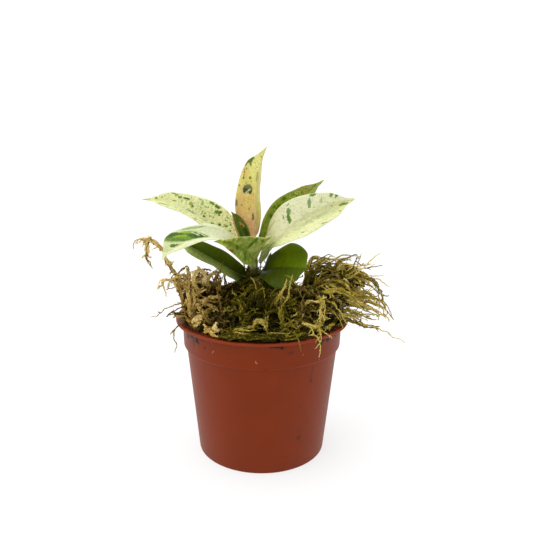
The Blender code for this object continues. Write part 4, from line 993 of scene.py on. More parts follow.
def pot_finish(settings):
    """Moulded terracotta coloured plastic with soil marks on its band, a painted highlight on its lip, and
    soil and painted shade on its rim's top.
    """
    plastic, lip = ([part * 255 for part in tone] for tone in (settings.colour, settings.lip))
    paint = Paint("terracotta_plastic", linear([part * 0.88 for part in plastic]),
                  Specular_IOR_Level=0.14)
    place = paint.place
    x, y, z = paint.parts(place)
    round_it = paint.sum("ARCTAN2", x, y * -1.0) * BODY_TOP_RADIUS
    ragged = paint.joined(round_it, z, 0.0) + paint.wobble(place, 0.9, 3.0) * (1.6, 1.6, 0.0)
    paint.coat(paint.noise(place, 0.06, 3.0), linear(plastic))
    # The lip's lighter colour is a painted highlight along the rim's flange
    paint.coat(z.rise(POT_HEIGHT - RIM_THICKNESS - 0.3, POT_HEIGHT - 0.4), linear(lip))
    dust = paint.noise(ragged, 0.35, 4.0).rise(0.52, 0.72) * z.rise(60.0, 71.0, 0.0, 0.35)
    paint.coat(dust, linear(SOIL_DUST))
    for degrees, height, half_x, half_y, tone, *turn in POT_MARKS:
        across = math.radians(degrees) * BODY_TOP_RADIUS
        paint.coat(paint.patch(ragged, across, height, half_x, half_y, 0.4, *turn), linear(tone))
    reach = paint.vector("LENGTH", place * (1, 1, 0))
    inner = z.rise(BAND_LOW_Z + 0.3, BAND_LOW_Z + 0.8) * reach.rise(40.7, 40.4)
    paint.coat(inner * paint.noise(place, 0.3, 4.0).rise(0.4, 0.6), linear(SOIL_SILT))
    # The rim's top is darkened in ragged patches, partly soil and partly painted shade
    ragged_reach = paint.noise(place, 0.4, 4.0) * 2.4 + reach
    top = z.rise(POT_HEIGHT - 0.5, POT_HEIGHT - 0.2) * ragged_reach.rise(45.4, 44.6)
    paint.coat(top, linear(LIP_SOIL_AND_SHADE), 0.7)
    grain = paint.noise(place, 2.2, 3.0, 0.6)
    paint.bump(grain, 0.035)
    return paint.finish(Roughness=grain.rise(0.3, 0.7, 0.40, 0.52))


def stem_centre(height):
    """Middle of the stem at a height, in millimetres."""
    rise = height - SOIL_MIDDLE_Z
    return Vector((STEM_BASE[0] + STEM_LEAN[0] * rise, STEM_BASE[1] + STEM_LEAN[1] * rise, height))


def stem_radius(height):
    """Radius of the stem at a height, with a swelling at each leaf and a pointed top."""
    share = smooth_step(STEM_FOOT_Z, STEM_TOP_Z, height)
    radius = STEM_LOW_RADIUS + (STEM_HIGH_RADIUS - STEM_LOW_RADIUS) * share
    for leaf in LEAVES.values():
        radius += NODE_SWELLING * math.exp(-((height - leaf["height"]) / NODE_LENGTH) ** 2) * 0.5
    radius *= 1.0 - 0.8 * smooth_step(STEM_TOP_Z - STEM_TIP_LENGTH, STEM_TOP_Z, height)
    rooted = smooth_step(STEM_FOOT_Z, STEM_FOOT_Z + STEM_FOOT_LENGTH, height)
    return radius * (0.6 + 0.4 * rooted)


def stem_mesh():
    """The stem with its fine ridges."""
    rows, sides = 200, 28
    shape = bmesh.new()
    rings = []
    for row in range(rows):
        height = STEM_FOOT_Z + (STEM_TOP_Z - STEM_FOOT_Z) * row / (rows - 1)
        rings.append([])
        for side in range(sides):
            angle = 2 * math.pi * side / sides
            ridge = STEM_RIDGE * math.sin(angle * 9 + height * 0.15)
            lump = STEM_LUMP * noise.noise(Vector((math.cos(angle), math.sin(angle), height * 0.35)))
            reach = stem_radius(height) + ridge + lump
            place = stem_centre(height) + Vector((math.cos(angle), math.sin(angle), 0)) * reach
            rings[-1].append(shape.verts.new(place * MM))
    for lower, upper in zip(rings, rings[1:]):
        for side in range(sides):
            after = (side + 1) % sides
            shape.faces.new((lower[side], lower[after], upper[after], upper[side]))
    shape.faces.new(rings[0][::-1])
    shape.faces.new(rings[-1])
    bmesh.ops.recalc_face_normals(shape, faces=shape.faces)
    return mesh_from_bmesh("stem", shape, is_smooth=True)


def stem_finish():
    """Green brown bark that turns fresh green and reddish towards the top."""
    paint = Paint("stem_bark", linear(BARK_BROWN), Roughness=0.6)
    streaks = paint.noise(paint.place * (1.6, 1.6, 0.25), 1.0, 4.0, 0.6)
    paint.coat(paint.parts(paint.place)[2].rise(84, 104), linear(YOUNG_BARK))
    paint.coat(streaks.rise(0.45, 0.7), linear(BARK_STREAK))
    paint.bump(streaks, 0.12)
    return paint.finish()


def leaf_foot(leaf):
    """Middle of the petiole's foot, just clear of the stem."""
    angle = math.radians(leaf["around"])
    outward = Vector((math.cos(angle), math.sin(angle), 0.0))
    centre = stem_centre(leaf["height"])
    steepness = (Vector(leaf["bends"][0]) - centre).normalized().z
    reach = stem_radius(leaf["height"]) + GAP + PETIOLE_RADIUS * max(steepness, 0.0)
    return centre + outward * reach


def rib_point(controls, share):
    """Point on the rib's curve at a share of its length."""
    rest = 1.0 - share
    return (controls[0] * rest ** 3 + controls[1] * 3 * rest ** 2 * share
            + controls[2] * 3 * rest * share ** 2 + controls[3] * share ** 3)


def blade_share(share, leaf):
    """Half width of the blade as a share of its widest half width."""
    power = math.log(0.5) / math.log(leaf["widest"])
    swell = math.sin(math.pi * share ** power) ** leaf["fullness"] if 0.0 < share < 1.0 else 0.0
    shoulder = smooth_step(BLADE_START, BLADE_FULL, share)
    return swell * shoulder * (1.0 - DRIP_CUT * smooth_step(*DRIP_SHARES, share))


def leaf_frames(leaf, rows):
    """Rib points with the direction to the leaf's side and the direction its face looks."""
    controls = [leaf_foot(leaf)] + [Vector(place) for place in (*leaf["bends"], leaf["tip"])]
    frames = []
    face = Vector(leaf["face"])
    for row in range(rows):
        share = row / (rows - 1)
        ahead = rib_point(controls, min(share + 0.01, 1.0))
        behind = rib_point(controls, max(share - 0.01, 0.0))
        along = (ahead - behind).normalized()
        face = (face - along * face.dot(along)).normalized()
        looks = Quaternion(along, -math.radians(between(leaf["roll"], share))) @ face
        frames.append((share, rib_point(controls, share), along.cross(looks), looks))
    return frames


def leaf_surface(leaf, frames, columns):
    """Middle surface of a leaf, with each row's half width, share of petiole and length so far."""
    grid = []
    facts = []
    length = 0.0
    last = None
    for share, rib, side, looks in frames:
        blade = blade_share(share, leaf)
        half = max(blade * leaf["width"] / 2, TIP_HALF_WIDTH * (1.0 - 0.7 * share ** 40))
        petiole = 1.0 - smooth_step(PETIOLE_FADE, BLADE_FULL, share)
        half = max(half, PETIOLE_RADIUS * petiole)
        if "foot" in leaf and share < BROAD_FOOT[-1]:
            half = between(leaf["foot"], share, BROAD_FOOT)
        folds = (between(leaf["fold_a"], share), between(leaf["fold_b"], share))
        trims = [between(leaf.get(trim, UNTRIMMED), share, TRIM_SHARES)
                 for trim in ("trim_a", "trim_b")]
        opening = (1.0 - petiole) * smooth_step(TIP_HALF_WIDTH, FOLDED_HALF_WIDTH, half)
        length += (rib - last).length if last else 0.0
        last = rib
        row = []
        for column in columns:
            half_number = 0 if column > 0 else 1
            fold = math.radians(folds[half_number]) * opening
            away = abs(column) * trims[half_number]
            soft = math.hypot(away, CREASE) - CREASE * (1.0 - away)
            wave = leaf["wave"] * math.sin(WAVE_TURN * share + WAVE_SHIFT * (column > 0)) * column ** 2
            belly = BELLY * half * opening * math.sin(math.pi * away)
            ripple = math.sin(RIPPLE_TURN * (length - away * half * 0.4)) * (1.0 - away ** 4)
            lift = wave * blade + half * soft * math.sin(fold) + belly + RIPPLE * opening * ripple
            reach = half * away * math.cos(fold)
            row.append(rib + side * math.copysign(reach, column) + looks * lift)
        grid.append(row)
        facts.append((half, petiole, length))
    return grid, facts


def leaf_mesh(name, leaf, rows, count):
    """Loft a leaf from the round foot of its petiole to its thin tip, and give its length too."""
    columns = [math.copysign(abs(place) ** 1.5, place) for place in np.linspace(-1.0, 1.0, count)]
    frames = leaf_frames(leaf, rows)
    grid, facts = leaf_surface(leaf, frames, columns)
    points = np.array([[tuple(point) for point in row] for row in grid])
    normals = np.cross(np.gradient(points, axis=1), np.gradient(points, axis=0))
    normals /= np.linalg.norm(normals, axis=2, keepdims=True)
    if Vector(normals[rows // 2][count // 2]).dot(frames[rows // 2][3]) < 0:
        normals = -normals
    shape = bmesh.new()
    upper, lower, blades, edges = [], [], [], []
    for row, (half, petiole, length) in enumerate(facts):
        upper.append([])
        lower.append([])
        rib_radius = RIB_RADIUS * (1.0 - 0.75 * row / rows)
        for column, point, normal in zip(columns, grid[row], normals[row]):
            normal = Vector(normal)
            round_half = max(PETIOLE_RADIUS * math.sqrt(1.0 - column ** 2), EDGE_HALF_THICKNESS)
            across = half * abs(column)
            thin = EDGE_HALF_THICKNESS + (BLADE_HALF_THICKNESS - EDGE_HALF_THICKNESS) * (
                1.0 - abs(column) ** 6)
            ridge = math.sqrt(max(rib_radius ** 2 - across ** 2, 0.0))
            groove = RIB_GROOVE * math.exp(-(across / GROOVE_HALF_WIDTH) ** 2) * (1.0 - row / rows)
            above = (thin - groove) * (1.0 - petiole) + round_half * petiole
            below = (thin + ridge) * (1.0 - petiole) + round_half * petiole
            upper[-1].append(shape.verts.new((point + normal * above) * MM))
            lower[-1].append(shape.verts.new((point - normal * below) * MM))
            blades += [(half * column, length, under) for under in (0.0, 1.0)]
            edges += [abs(column)] * 2
    for top, bottom, next_top, next_bottom in zip(upper, lower, upper[1:], lower[1:]):
        for index in range(count - 1):
            shape.faces.new((top[index], next_top[index], next_top[index + 1], top[index + 1]))
            shape.faces.new((bottom[index + 1], next_bottom[index + 1], next_bottom[index], bottom[index]))
        shape.faces.new((top[0], bottom[0], next_bottom[0], next_top[0]))
        shape.faces.new((next_top[-1], next_bottom[-1], bottom[-1], top[-1]))
    for row in (0, rows - 1):
        shape.faces.new(upper[row] + lower[row][::-1])
    bmesh.ops.recalc_face_normals(shape, faces=shape.faces)
    mesh = mesh_from_bmesh(name, shape, is_smooth=True)
    with_attribute(mesh, "blade", blades, "FLOAT_VECTOR", "vector")
    with_attribute(mesh, "edge", edges)
    return mesh, length


def leaf_finish(name, look, length, settings):
    """A waxy leaf with its marbling, specks, patches, veins and edge."""
    paint = Paint(name + "_blade", linear(look["foot"]), Roughness=settings.roughness,
                  Specular_IOR_Level=0.1, Subsurface_Weight=0.10,
                  Subsurface_Radius=(1.0, 0.9, 0.25), Subsurface_Scale=1.0 * MM)
    place = paint.place
    middle = look["middle"]
    blade = paint.attribute("blade", "Vector")
    x, y, under = paint.parts(blade)
    away = abs(x)
    share = y / length
    paint.coat(share.rise(0.05, 0.4), linear(middle))
    paint.coat(share.rise(0.5, 1.0), linear(look["tip"]))
    # The half across the rib gets its own colour; on leaf_low_left and leaf_low_right it is lighter as
    # painted light
    if "far" in look:
        paint.coat(x.rise(0.3, -0.3) * share.rise(0.08, 0.4), linear(look["far"]))
    spread = (blade + paint.wobble(place, 0.35, 3.0) * (4.0, 8.0, 0.0)) * (1, 1, 0)
    # Washes are large soft areas of colour; those of leaf_low_right are painted highlight and painted
    # shade
    for across, along, half_x, half_y, tone, strength in look["washes"]:
        paint.coat(paint.patch(spread, across, along, half_x, half_y, 0.8), linear(tone), strength)
    paint.coat(paint.noise(place, 0.16, 3.0).rise(0.35, 0.75, 0.0, 0.08), linear((60, 70, 20)))
    mottle = paint.noise(place, 0.9, 3.0, 0.6)
    paint.coat(mottle.rise(0.52, 0.66, 0.0, 0.5), linear([min(part * 1.08 + 4, 250) for part in middle]))
    paint.coat(mottle.rise(0.50, 0.34, 0.0, 0.4), linear([part * 0.82 for part in middle]))

    # Streaks and side veins run from the rib to the edge and lean towards the tip
    climb = away * -0.42 + y
    streaks = paint.joined(x * 0.28, climb, length)
    amount, tone = look["marbling"]
    marbled = paint.noise(streaks, 0.75, 4.0, 0.62).rise(0.72 - 0.32 * amount, 0.80 - 0.28 * amount)
    paint.coat(marbled, linear(tone), min(amount * 1.5, 0.85))
    amount, tone = look["specks"]
    if amount > 0:
        groups = paint.noise(place, 0.22, 1.0).rise(0.56 - 0.4 * amount, 0.66 - 0.4 * amount)
        specks = 0.0
        for size, high in ((1.9, 0.70), (1.15, 0.72), (0.6, 0.76)):
            grain = paint.noise(place + (size, 0, 0), size, 1.0)
            dot = grain.rise(high - 0.10 * amount - 0.03, high - 0.10 * amount)
            specks = paint.sum("MAXIMUM", specks, dot)
        paint.coat(specks * (groups * 0.85), linear(tone))

    # Patches are ragged, and streaked along the side veins
    ragged = (blade + paint.wobble(place, 1.1, 5.0, 0.7) * (2.0, 3.0, 0.0)) * (1, 1, 0)
    marked = 0.0
    for across, along, half_x, half_y, tone, *turn in look["patches"]:
        inside = paint.patch(ragged, across, along, half_x, half_y, 0.16, *turn)
        paint.coat(inside, linear(tone), 0.94)
        if "threads" in look and sum(tone) < 320 and half_x * half_y > 3.0:
            marked = paint.sum("MAXIMUM", marked, inside)
    if marked:
        thread = paint.noise(streaks, 2.2, 3.0, 0.6)
        paint.coat(marked * thread.rise(0.46, 0.34, 0.0, 0.55), linear((48, 84, 0)))
        paint.coat(marked * thread.rise(0.56, 0.70, 0.0, 0.6), linear((166, 188, 80)))
    line = abs(paint.sum("SINE", climb * (math.pi / (settings.vein_spacing / MM)))).rise(0.16, 0.0)
    paint.coat(line, linear(look["rib"]), 0.08)
    paint.coat(away.rise(0.5, 0.2), linear(look["rib"]), 0.6)
    border = look.get("border", 0.955)
    paint.coat(paint.attribute("edge").rise(border, border + 0.03), linear(look["edge"]), 0.7)
    dull = linear([0.55 * part + 72 for part in middle])
    paint.coat(under, dull, look.get("pale_under", 0.3))
    paint.bump(paint.noise(place, 3.0) * 0.35 + line * -0.5, 0.05)
    return paint.finish()


def mound_height(radius, angle):
    """Height of the moss mound's top at a place."""
    share = min(max((radius - MOUND_INNER) / (MOUND_OUTER - MOUND_INNER), 0.0), 1.0)
    height = MOUND_RIM_Z + (MOUND_TOP_Z - MOUND_RIM_Z) * math.cos(share * math.pi / 2) ** 0.8
    place = Vector((radius * math.cos(angle), radius * math.sin(angle), 3.0)) * MOUND_GRAIN
    return height + MOUND_LUMPS * noise.noise(place)


def mound_mesh():
    """A lumpy dome of moss that lies on the soil, open round the stem."""
    centre = stem_centre(MOUND_HOLE_Z)
    low = SOIL_MIDDLE_Z + SOIL_ROUGHNESS + GAP
    shares = [index / (MOUND_RINGS - 1) for index in range(MOUND_RINGS)]
    shape = bmesh.new()
    rings = []
    for share, is_top in [(share, True) for share in shares] + [(1, False), (0, False)]:
        radius = MOUND_INNER + (MOUND_OUTER - MOUND_INNER) * share
        rings.append([])
        for step in range(MOUND_STEPS):
            angle = 2 * math.pi * step / MOUND_STEPS
            height = mound_height(radius, angle) if is_top else low
            rings[-1].append(shape.verts.new((
                (radius * math.cos(angle) + centre.x * (1 - share)) * MM,
                (radius * math.sin(angle) + centre.y * (1 - share)) * MM, height * MM)))
    for first, second in zip(rings, rings[1:] + rings[:1]):
        for step in range(MOUND_STEPS):
            after = (step + 1) % MOUND_STEPS
            shape.faces.new((first[step], second[step], second[after], first[after]))
    bmesh.ops.recalc_face_normals(shape, faces=shape.faces)
    return mesh_from_bmesh("mound", shape)


def box_mesh(*ends):
    """A plain box between three pairs of ends."""
    shape = bmesh.new()
    bmesh.ops.create_cube(shape, size=1.0)
    sizes = [(high - low) * MM for low, high in ends]
    middle = [(high + low) / 2 * MM for low, high in ends]
    bmesh.ops.scale(shape, vec=sizes, verts=shape.verts)
    bmesh.ops.translate(shape, vec=middle, verts=shape.verts)
    return mesh_from_bmesh("box", shape)


def wad_mesh(centre, sizes):
    """A lumpy ball of moss."""
    shape = bmesh.new()
    bmesh.ops.create_icosphere(shape, subdivisions=2, radius=1.0)
    for vertex in shape.verts:
        lump = 1.0 + WAD_LUMPS * noise.noise(vertex.co * WAD_GRAIN + Vector(centre))
        place = Vector(centre) + Vector(part * size * lump for part, size in zip(vertex.co, sizes))
        vertex.co = place * MM
    return mesh_from_bmesh("wad", shape)


def bed_cores():
    """The core of each bed, cut from the mound and thickened by its wads."""
    mound = mound_mesh()
    cores = {}
    for name, bed in BEDS.items():
        ranges = [(low + BED_GAP / 2, high - BED_GAP / 2) for low, high in (bed["x"], bed["y"])]
        box = box_mesh(*ranges, (0, 200))
        cores[name] = changed_mesh(mound.copy(), "INTERSECT", [box])
        for centre, sizes in bed["wads"]:
            wad = changed_mesh(wad_mesh(centre, sizes), "INTERSECT", [box.copy()])
            cores[name] = changed_mesh(cores[name], "UNION", [wad])
    return cores


def smooth_route(route, count):
    """Evenly spaced points on a soft curve through the points of a route."""
    points = [Vector(point) for point in route]
    padded = [points[0] * 2 - points[1]] + points + [points[-1] * 2 - points[-2]]
    dense = []
    for index in range(len(points) - 1):
        before, start, end, after = padded[index:index + 4]
        for step in range(8):
            share = step / 8
            dense.append(0.5 * (
                start * 2 + (end - before) * share
                + (before * 2 - start * 5 + end * 4 - after) * share ** 2
                + (start * 3 - before - end * 3 + after) * share ** 3))
    dense.append(points[-1])
    lengths = np.cumsum([0.0] + [(b - a).length for a, b in zip(dense, dense[1:])])
    wanted = np.linspace(0.0, lengths[-1], count)
    axes = [np.interp(wanted, lengths, [point[axis] for point in dense]) for axis in range(3)]
    return [Vector(place) for place in zip(*axes)]


def wandering_route(rng, root, heading, length, sag):
    """A strand that leaves its root along a heading, curls at random and sags toward its tip."""
    points = [root]
    direction = heading.normalized()
    axis = drawn(rng).normalized()
    curl = math.radians(rng.uniform(*STRAND_CURL))
    for _ in range(STRAND_STEPS):
        direction = Quaternion(axis, curl) @ direction
        direction = (direction + Vector((0, 0, -sag))).normalized()
        points.append(points[-1] + direction * length / STRAND_STEPS)
    return points


def free_route(rng, spot, normal, bed):
    """A strand that leaves the bed outward and ends in the air."""
    outward = Vector((spot.x, spot.y, 0.0)).normalized()
    heading = normal * 0.6 + Vector(bed["lean"]) + outward * 0.35 + drawn(rng) * 0.75
    length = rng.uniform(*bed["length"])
    return wandering_route(rng, spot - normal * ROOT_DEPTH, heading, length, bed["sag"])


def arched_route(rng, spot, normal, core_tree):
    """A strand that rises out of the bed and dips back into it further on."""
    drift = drawn(rng)
    along = (drift - normal * drift.dot(normal)).normalized()
    far = core_tree.find_nearest((spot + along * rng.uniform(*ARCH_SPAN)) * MM)
    start = spot - normal * ROOT_DEPTH * ARCH_SINK
    end = far[0] / MM - far[1] * ROOT_DEPTH * ARCH_SINK
    rise = rng.uniform(*ARCH_RISE) + ROOT_DEPTH * ARCH_SINK
    bow = along.cross(normal) * rng.uniform(-ARCH_BOW, ARCH_BOW)
    points = []
    for step in range(ARCH_STEPS + 1):
        share = step / ARCH_STEPS
        lift = (normal * (1 - share) + far[1] * share) * rise + bow
        points.append(start.lerp(end, share) + lift * math.sin(math.pi * share))
    return points


def creeping_route(rng, spot, normal, core_tree):
    """A strand that winds over the bed's surface and lifts off it here and there."""
    drift = drawn(rng) + Vector((0, 0, -0.3))
    direction = (drift - normal * drift.dot(normal)).normalized()
    offset = drawn(rng, 0, 90)
    points = [spot - normal]
    for _ in range(rng.randint(*CREEP_STEPS)):
        place = spot + offset
        direction = Quaternion(normal, 1.1 * noise.noise(place * 0.16)) @ direction
        ahead = core_tree.find_nearest((spot + direction * CREEP_STEP) * MM)
        moved = ahead[0] / MM
        normal = (normal + ahead[1] * 0.6).normalized()
        direction = (moved - spot).normalized() * 0.8 + direction * 0.6
        direction = (direction - normal * direction.dot(normal)).normalized()
        spot = moved
        lift = CREEP_LIFT + CREEP_WAVE * max(noise.noise(place * 0.25), -0.25)
        points.append(spot + normal * lift)
    return points


def is_clear(points, thick, obstacles):
    """Whether a strand keeps its distance from every other piece."""
    for first, second in zip(points, points[1:]):
        for place in (first, (first + second) / 2, second):
            for tree in obstacles:
                nearest = tree.find_nearest(place * MM)
                if nearest[3] is not None and nearest[3] < (thick * 1.1 + GAP) * MM:
                    return False
    return True


def is_inside(points):
    """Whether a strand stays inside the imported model's box."""
    low, high = (corner / MM for corner in CAD_BOX)
    return all(low[axis] < point[axis] < high[axis] for point in points for axis in range(3))


def surface_spots(mesh, rng, count):
    """Places drawn at random on the upper faces of a mesh, with the way each face looks."""
    faces = [face for face in mesh.polygons if face.normal.z > -0.35]
    weights = [face.area * (0.4 + max(face.normal.z, 0.0)) for face in faces]
    spots = []
    for face in rng.choices(faces, weights=weights, k=count):
        corners = [mesh.vertices[index].co for index in face.vertices]
        shares = [rng.random() for _ in corners]
        total = sum(shares)
        spot = sum((corner * share / total for corner, share in zip(corners, shares)), Vector())
        spots.append((spot / MM, face.normal.copy()))
    return spots


def drawn_strands(rng, core, core_tree, bed, kind, wanted, obstacles, bounded=False):
    """Clear strands of one kind, each with its points and its thickness at root and tip."""
    routes = {"arch": arched_route, "creeping": creeping_route}
    strands = []
    for spot, normal in surface_spots(core, rng, wanted * STRAND_TRIES):
        if len(strands) == wanted:
            break
        thick = rng.uniform(0.75, 1.0) * STRAND_THICK
        if kind == "free":
            points = free_route(rng, spot, normal, bed)
        else:
            points = routes[kind](rng, spot, normal, core_tree)
        if is_clear(points, thick, obstacles) and (is_inside(points) or not bounded):
            strands.append((points, thick, STRAND_FINE if kind == "free" else thick))
    return strands


def kinked(points, rng, sway):
    """The same strand in short steps, with the small kinks that real moss has."""
    length = sum((b - a).length for a, b in zip(points, points[1:]))
    fine = smooth_route(points, max(int(length / KINK_STEP), 4))
    offset = drawn(rng, 0, 90)
    bent = []
    for index, point in enumerate(fine):
        slow, quick = (noise.noise_vector(point * grain + offset) * reach
                       for grain, reach in (SLOW_KINK, QUICK_KINK))
        bent.append(point + (slow + quick) * sway * min(index / 6, 1.0))
    return bent


def lock_strands(rng, locks, bulk, obstacles):
    """The strands of each lock, spread round its route and of different lengths."""
    strands = []
    for count, spread, tint, route in locks:
        for _ in range(count):
            offset = Vector([rng.gauss(0, 1) for _ in range(3)]) * spread
            cut = rng.uniform(*LOCK_CUT)
            points = smooth_route(route, LOCK_POINTS)[:max(int(LOCK_POINTS * cut), 5)]
            points = [point + offset * (0.25 + 0.75 * index / len(points))
                      for index, point in enumerate(points)]
            thick = rng.uniform(*LOCK_THICK) * bulk
            if is_clear(points, LOCK_CLEARANCE, obstacles) and is_inside(points):
                strands.append((points, thick, STRAND_FINE * thick,
                                min(max(tint + rng.uniform(-LOCK_TINT, LOCK_TINT), 0.0), 1.0)))
    return strands


def rim_locks(rng, bed, count):
    """Locks that lie on the pot's rim beside a bed."""
    locks = []
    while len(locks) < count:
        angle = rng.uniform(-math.pi, math.pi)
        radius = rng.uniform(*RIM_LOCK_RADIUS)
        place = (radius * math.sin(angle), -radius * math.cos(angle))
        if not all(low <= part <= high for part, (low, high) in zip(place, (bed["x"], bed["y"]))):
            continue
        span = rng.choice((-1, 1)) * rng.uniform(*RIM_LOCK_SPAN) / radius
        route = []
        for share in (-0.5, -0.25, 0.0, 0.25, 0.5):
            turn = angle + span * share
            out = radius + rng.uniform(-RIM_LOCK_SWAY, RIM_LOCK_SWAY)
            height = POT_HEIGHT + rng.uniform(*RIM_LOCK_LIFT)
            route.append((out * math.sin(turn), -out * math.cos(turn), height))
        locks.append((rng.randint(2, 4), 0.5, rng.uniform(0.0, 0.6), route))
    return locks


def twigs_of(strand, rng, obstacles):
    """Short side shoots that leave a strand."""
    points, thick, _, tint = strand
    shoots = []
    for _ in range(len(points) // POINTS_PER_TWIG):
        index = rng.randrange(2, len(points) - 1)
        along = (points[index + 1] - points[index - 1]).normalized()
        heading = along * 0.8 + drawn(rng)
        shoot = wandering_route(rng, points[index], heading, rng.uniform(*TWIG_LENGTH), 0.05)
        if is_clear(shoot, TWIG_CLEARANCE, obstacles) and is_inside(shoot):
            shoots.append((kinked(shoot, rng, 0.6), thick * 0.75, STRAND_FINE * 0.7, tint))
    return shoots


def strand_mesh(name, strands, core_tree, rng):
    """Strands as chains of edges, with what the growth and the colours need at each point."""
    places, edges, facts = [], [], []
    for points, thick, fine, tint in strands:
        leafy = rng.uniform(0.7, 1.25)
        first = len(places)
        for index, point in enumerate(points):
            share = index / (len(points) - 1)
            near = core_tree.find_nearest(point * MM)
            outside = (point * MM - near[0]).dot(near[1]) / MM
            # air, how far a point lies out of the bed, sets how much painted shade the moss finish lays on
            # it
            air = min(max(outside / OPEN_AIR, 0.0), 1.0)
            places.append(tuple(point * MM))
            facts.append((thick + (fine - thick) * share ** 1.5, leafy, tint, share, air))
        edges += [(index, index + 1) for index in range(first, len(places) - 1)]
    mesh = bpy.data.meshes.new(name)
    mesh.from_pydata(places, edges, [])
    for fact, values in zip(("thick", "leafy", "tint", "along", "air"), zip(*facts)):
        with_attribute(mesh, fact, values)
    return mesh


def bed_strands(name, core, plant, neighbours, seed):
    """All strands of a bed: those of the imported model, then finer ones, locks and side shoots."""
    bed, look = BEDS[name], MOSS_LOOKS[name]
    core_tree = tree_of_mesh(core)
    rng = random.Random(bed["seed"])
    strands = [(smooth_route(route, 4 + 2 * len(route)), STRAND_THICK, STRAND_FINE)
               for route in LONG_STRANDS.get(name, [])]
    for kind, wanted in (("free", bed["free"]), ("arch", bed["arches"])):
        strands += drawn_strands(rng, core, core_tree, bed, kind, wanted, plant + neighbours)
    rng = random.Random(seed)
    for kind, wanted in (("creeping", look["creeping"]), ("free", look["loose"])):
        strands += drawn_strands(rng, core, core_tree, bed, kind, wanted, plant, bounded=True)
    tinted = [(*strand, rng.uniform(*look["tints"])) for strand in strands]
    locks = LOCKS[name] + rim_locks(rng, bed, look["rim"])
    tinted += lock_strands(rng, locks, look["bulk"], plant)
    fine = [(kinked(points, rng, 1.0), *facts) for points, *facts in tinted]
    fine += [shoot for strand in fine for shoot in twigs_of(strand, rng, plant)]
    return strand_mesh(name, fine, core_tree, rng)


def leaflet_shape(growth):
    """A leaflet as a keeled kite of four faces, its foot at the origin and its tip up Z."""
    cone = growth.get("GeometryNodeMeshCone", {
        "Vertices": 3, "Radius Top": 0.0, "Radius Bottom": 1.0, "Depth": 1.0}, fill_type="NGON")
    x, y, z = growth.parts(growth.get("GeometryNodeInputPosition"))
    width = growth.inputs["Leaflet width"]
    keel = x + z - 1.0
    rise = growth.sum("MULTIPLY_ADD", keel, -0.27, z) * growth.inputs["Leaflet length"]
    place = growth.joined(y * -1.15 * width, keel * 0.3 * width, rise)
    return growth.get("GeometryNodeSetPosition", {"Geometry": cone, "Position": place})


def strand_growth():
    """Geometry tree for moss: stems and leaflets on chains of edges, and a carpet on the core."""
    growth = Growth("moss", {
        "Core": "Object", "Stem radius": "Float", "Leaflet length": "Float",
        "Leaflet width": "Float", "Leaflet spacing": "Float", "Leaflet spread": "Float",
        "Carpet density": "Float", "Seed": "Int", "Material": "Material"})
    given = growth.inputs
    seed = given["Seed"]
    index = growth.get("GeometryNodeInputIndex")
    thick = growth.named("thick")
    leaflet = leaflet_shape(growth)
    curves = growth.get("GeometryNodeMeshToCurve", {"Mesh": given["Geometry"]})
    section = growth.get("GeometryNodeCurvePrimitiveCircle", {
        "Resolution": 4, "Radius": given["Stem radius"]})
    stems = growth.get("GeometryNodeCurveToMesh", {
        "Curve": curves, "Profile Curve": section, "Scale": thick, "Fill Caps": True})
    points = growth.get("GeometryNodeResampleCurve", {
        "Curve": curves, "Length": given["Leaflet spacing"]}, mode="LENGTH")
    sunk = growth.get("FunctionNodeCompare", {0: growth.named("air"), 1: 0.02},
                      data_type="FLOAT", operation="LESS_THAN")
    points = growth.get("GeometryNodeDeleteGeometry", {"Geometry": points, "Selection": sunk},
                        domain="POINT")
    points = growth.store(points, fleck=growth.random(0.0, 1.0, seed, index))
    facing = growth.get("FunctionNodeAlignRotationToVector", {
        "Vector": growth.get("GeometryNodeInputTangent")}, axis="Z")
    turn = index * math.radians(137.5) + growth.random(-0.9, 0.9, seed, index)
    tilt = given["Leaflet spread"] * growth.random(0.5, 1.7, seed + 7, index)
    size = growth.sum("MINIMUM", thick, 1.1) * growth.named("leafy")
    size = size * growth.random(0.6, 1.3, seed + 13, index)
    leaflets = growth.tilted_leaflets(points, leaflet, facing, turn, tilt, size)

    # Short leaflets stand all over the core
    core = growth.get("GeometryNodeObjectInfo", {"Object": given["Core"]}, "Geometry")
    spots = growth.node("GeometryNodeDistributePointsOnFaces", {
        "Mesh": core, "Density": given["Carpet density"], "Seed": seed}).outputs
    carpet, upright = (Signal(growth, spots[name]) for name in ("Points", "Rotation"))
    # The carpet's air is kept low, so the moss finish lays painted shade on it
    carpet = growth.store(
        carpet, fleck=growth.random(0.0, 1.0, seed, index),
        tint=growth.random(0.0, 0.7, seed + 3, index), air=growth.random(0.0, 0.35, seed + 5, index))
    carpet = growth.tilted_leaflets(
        carpet, leaflet, upright, growth.random(0.0, 6.28, seed, index),
        growth.random(0.4, 1.4, seed + 9, index), growth.random(0.9, 1.9, seed + 11, index))
    return growth.end(stems, leaflets, core, carpet)


def moss_finish(name, look):
    """Dry and fresh moss, pale at its tips and dark at its roots, partly as painted shade, and dark deep
    in the bed as painted shade.
    """
    paint = Paint(name + "_moss", Roughness=0.85, Specular_IOR_Level=0.12)
    tint, fleck, along, air = (paint.attribute(key) for key in ("tint", "fleck", "along", "air"))
    drift = paint.noise(paint.place, 0.12, 3.0) * 0.5 - 0.25
    blotch = paint.noise(paint.place, 0.9, 3.0, 0.7) * 0.6 - 0.3
    # Tips are paler and drier and roots darker, that darkness partly painted shade
    tone = tint + (drift + blotch) + (fleck - 0.5) * 0.35 + along * 0.18
    stops = [(0.05 + 0.22 * index, linear(shade)) for index, shade in enumerate(look["tones"])]
    paint.colour = paint.ramp(tone, stops)
    # Painted shade: the nearer a point lies to the core, the more of the shade colour it takes
    paint.coat(air.rise(0.0, 0.5, 0.92, 0.0), linear(look["shade"]))
    return paint.finish()


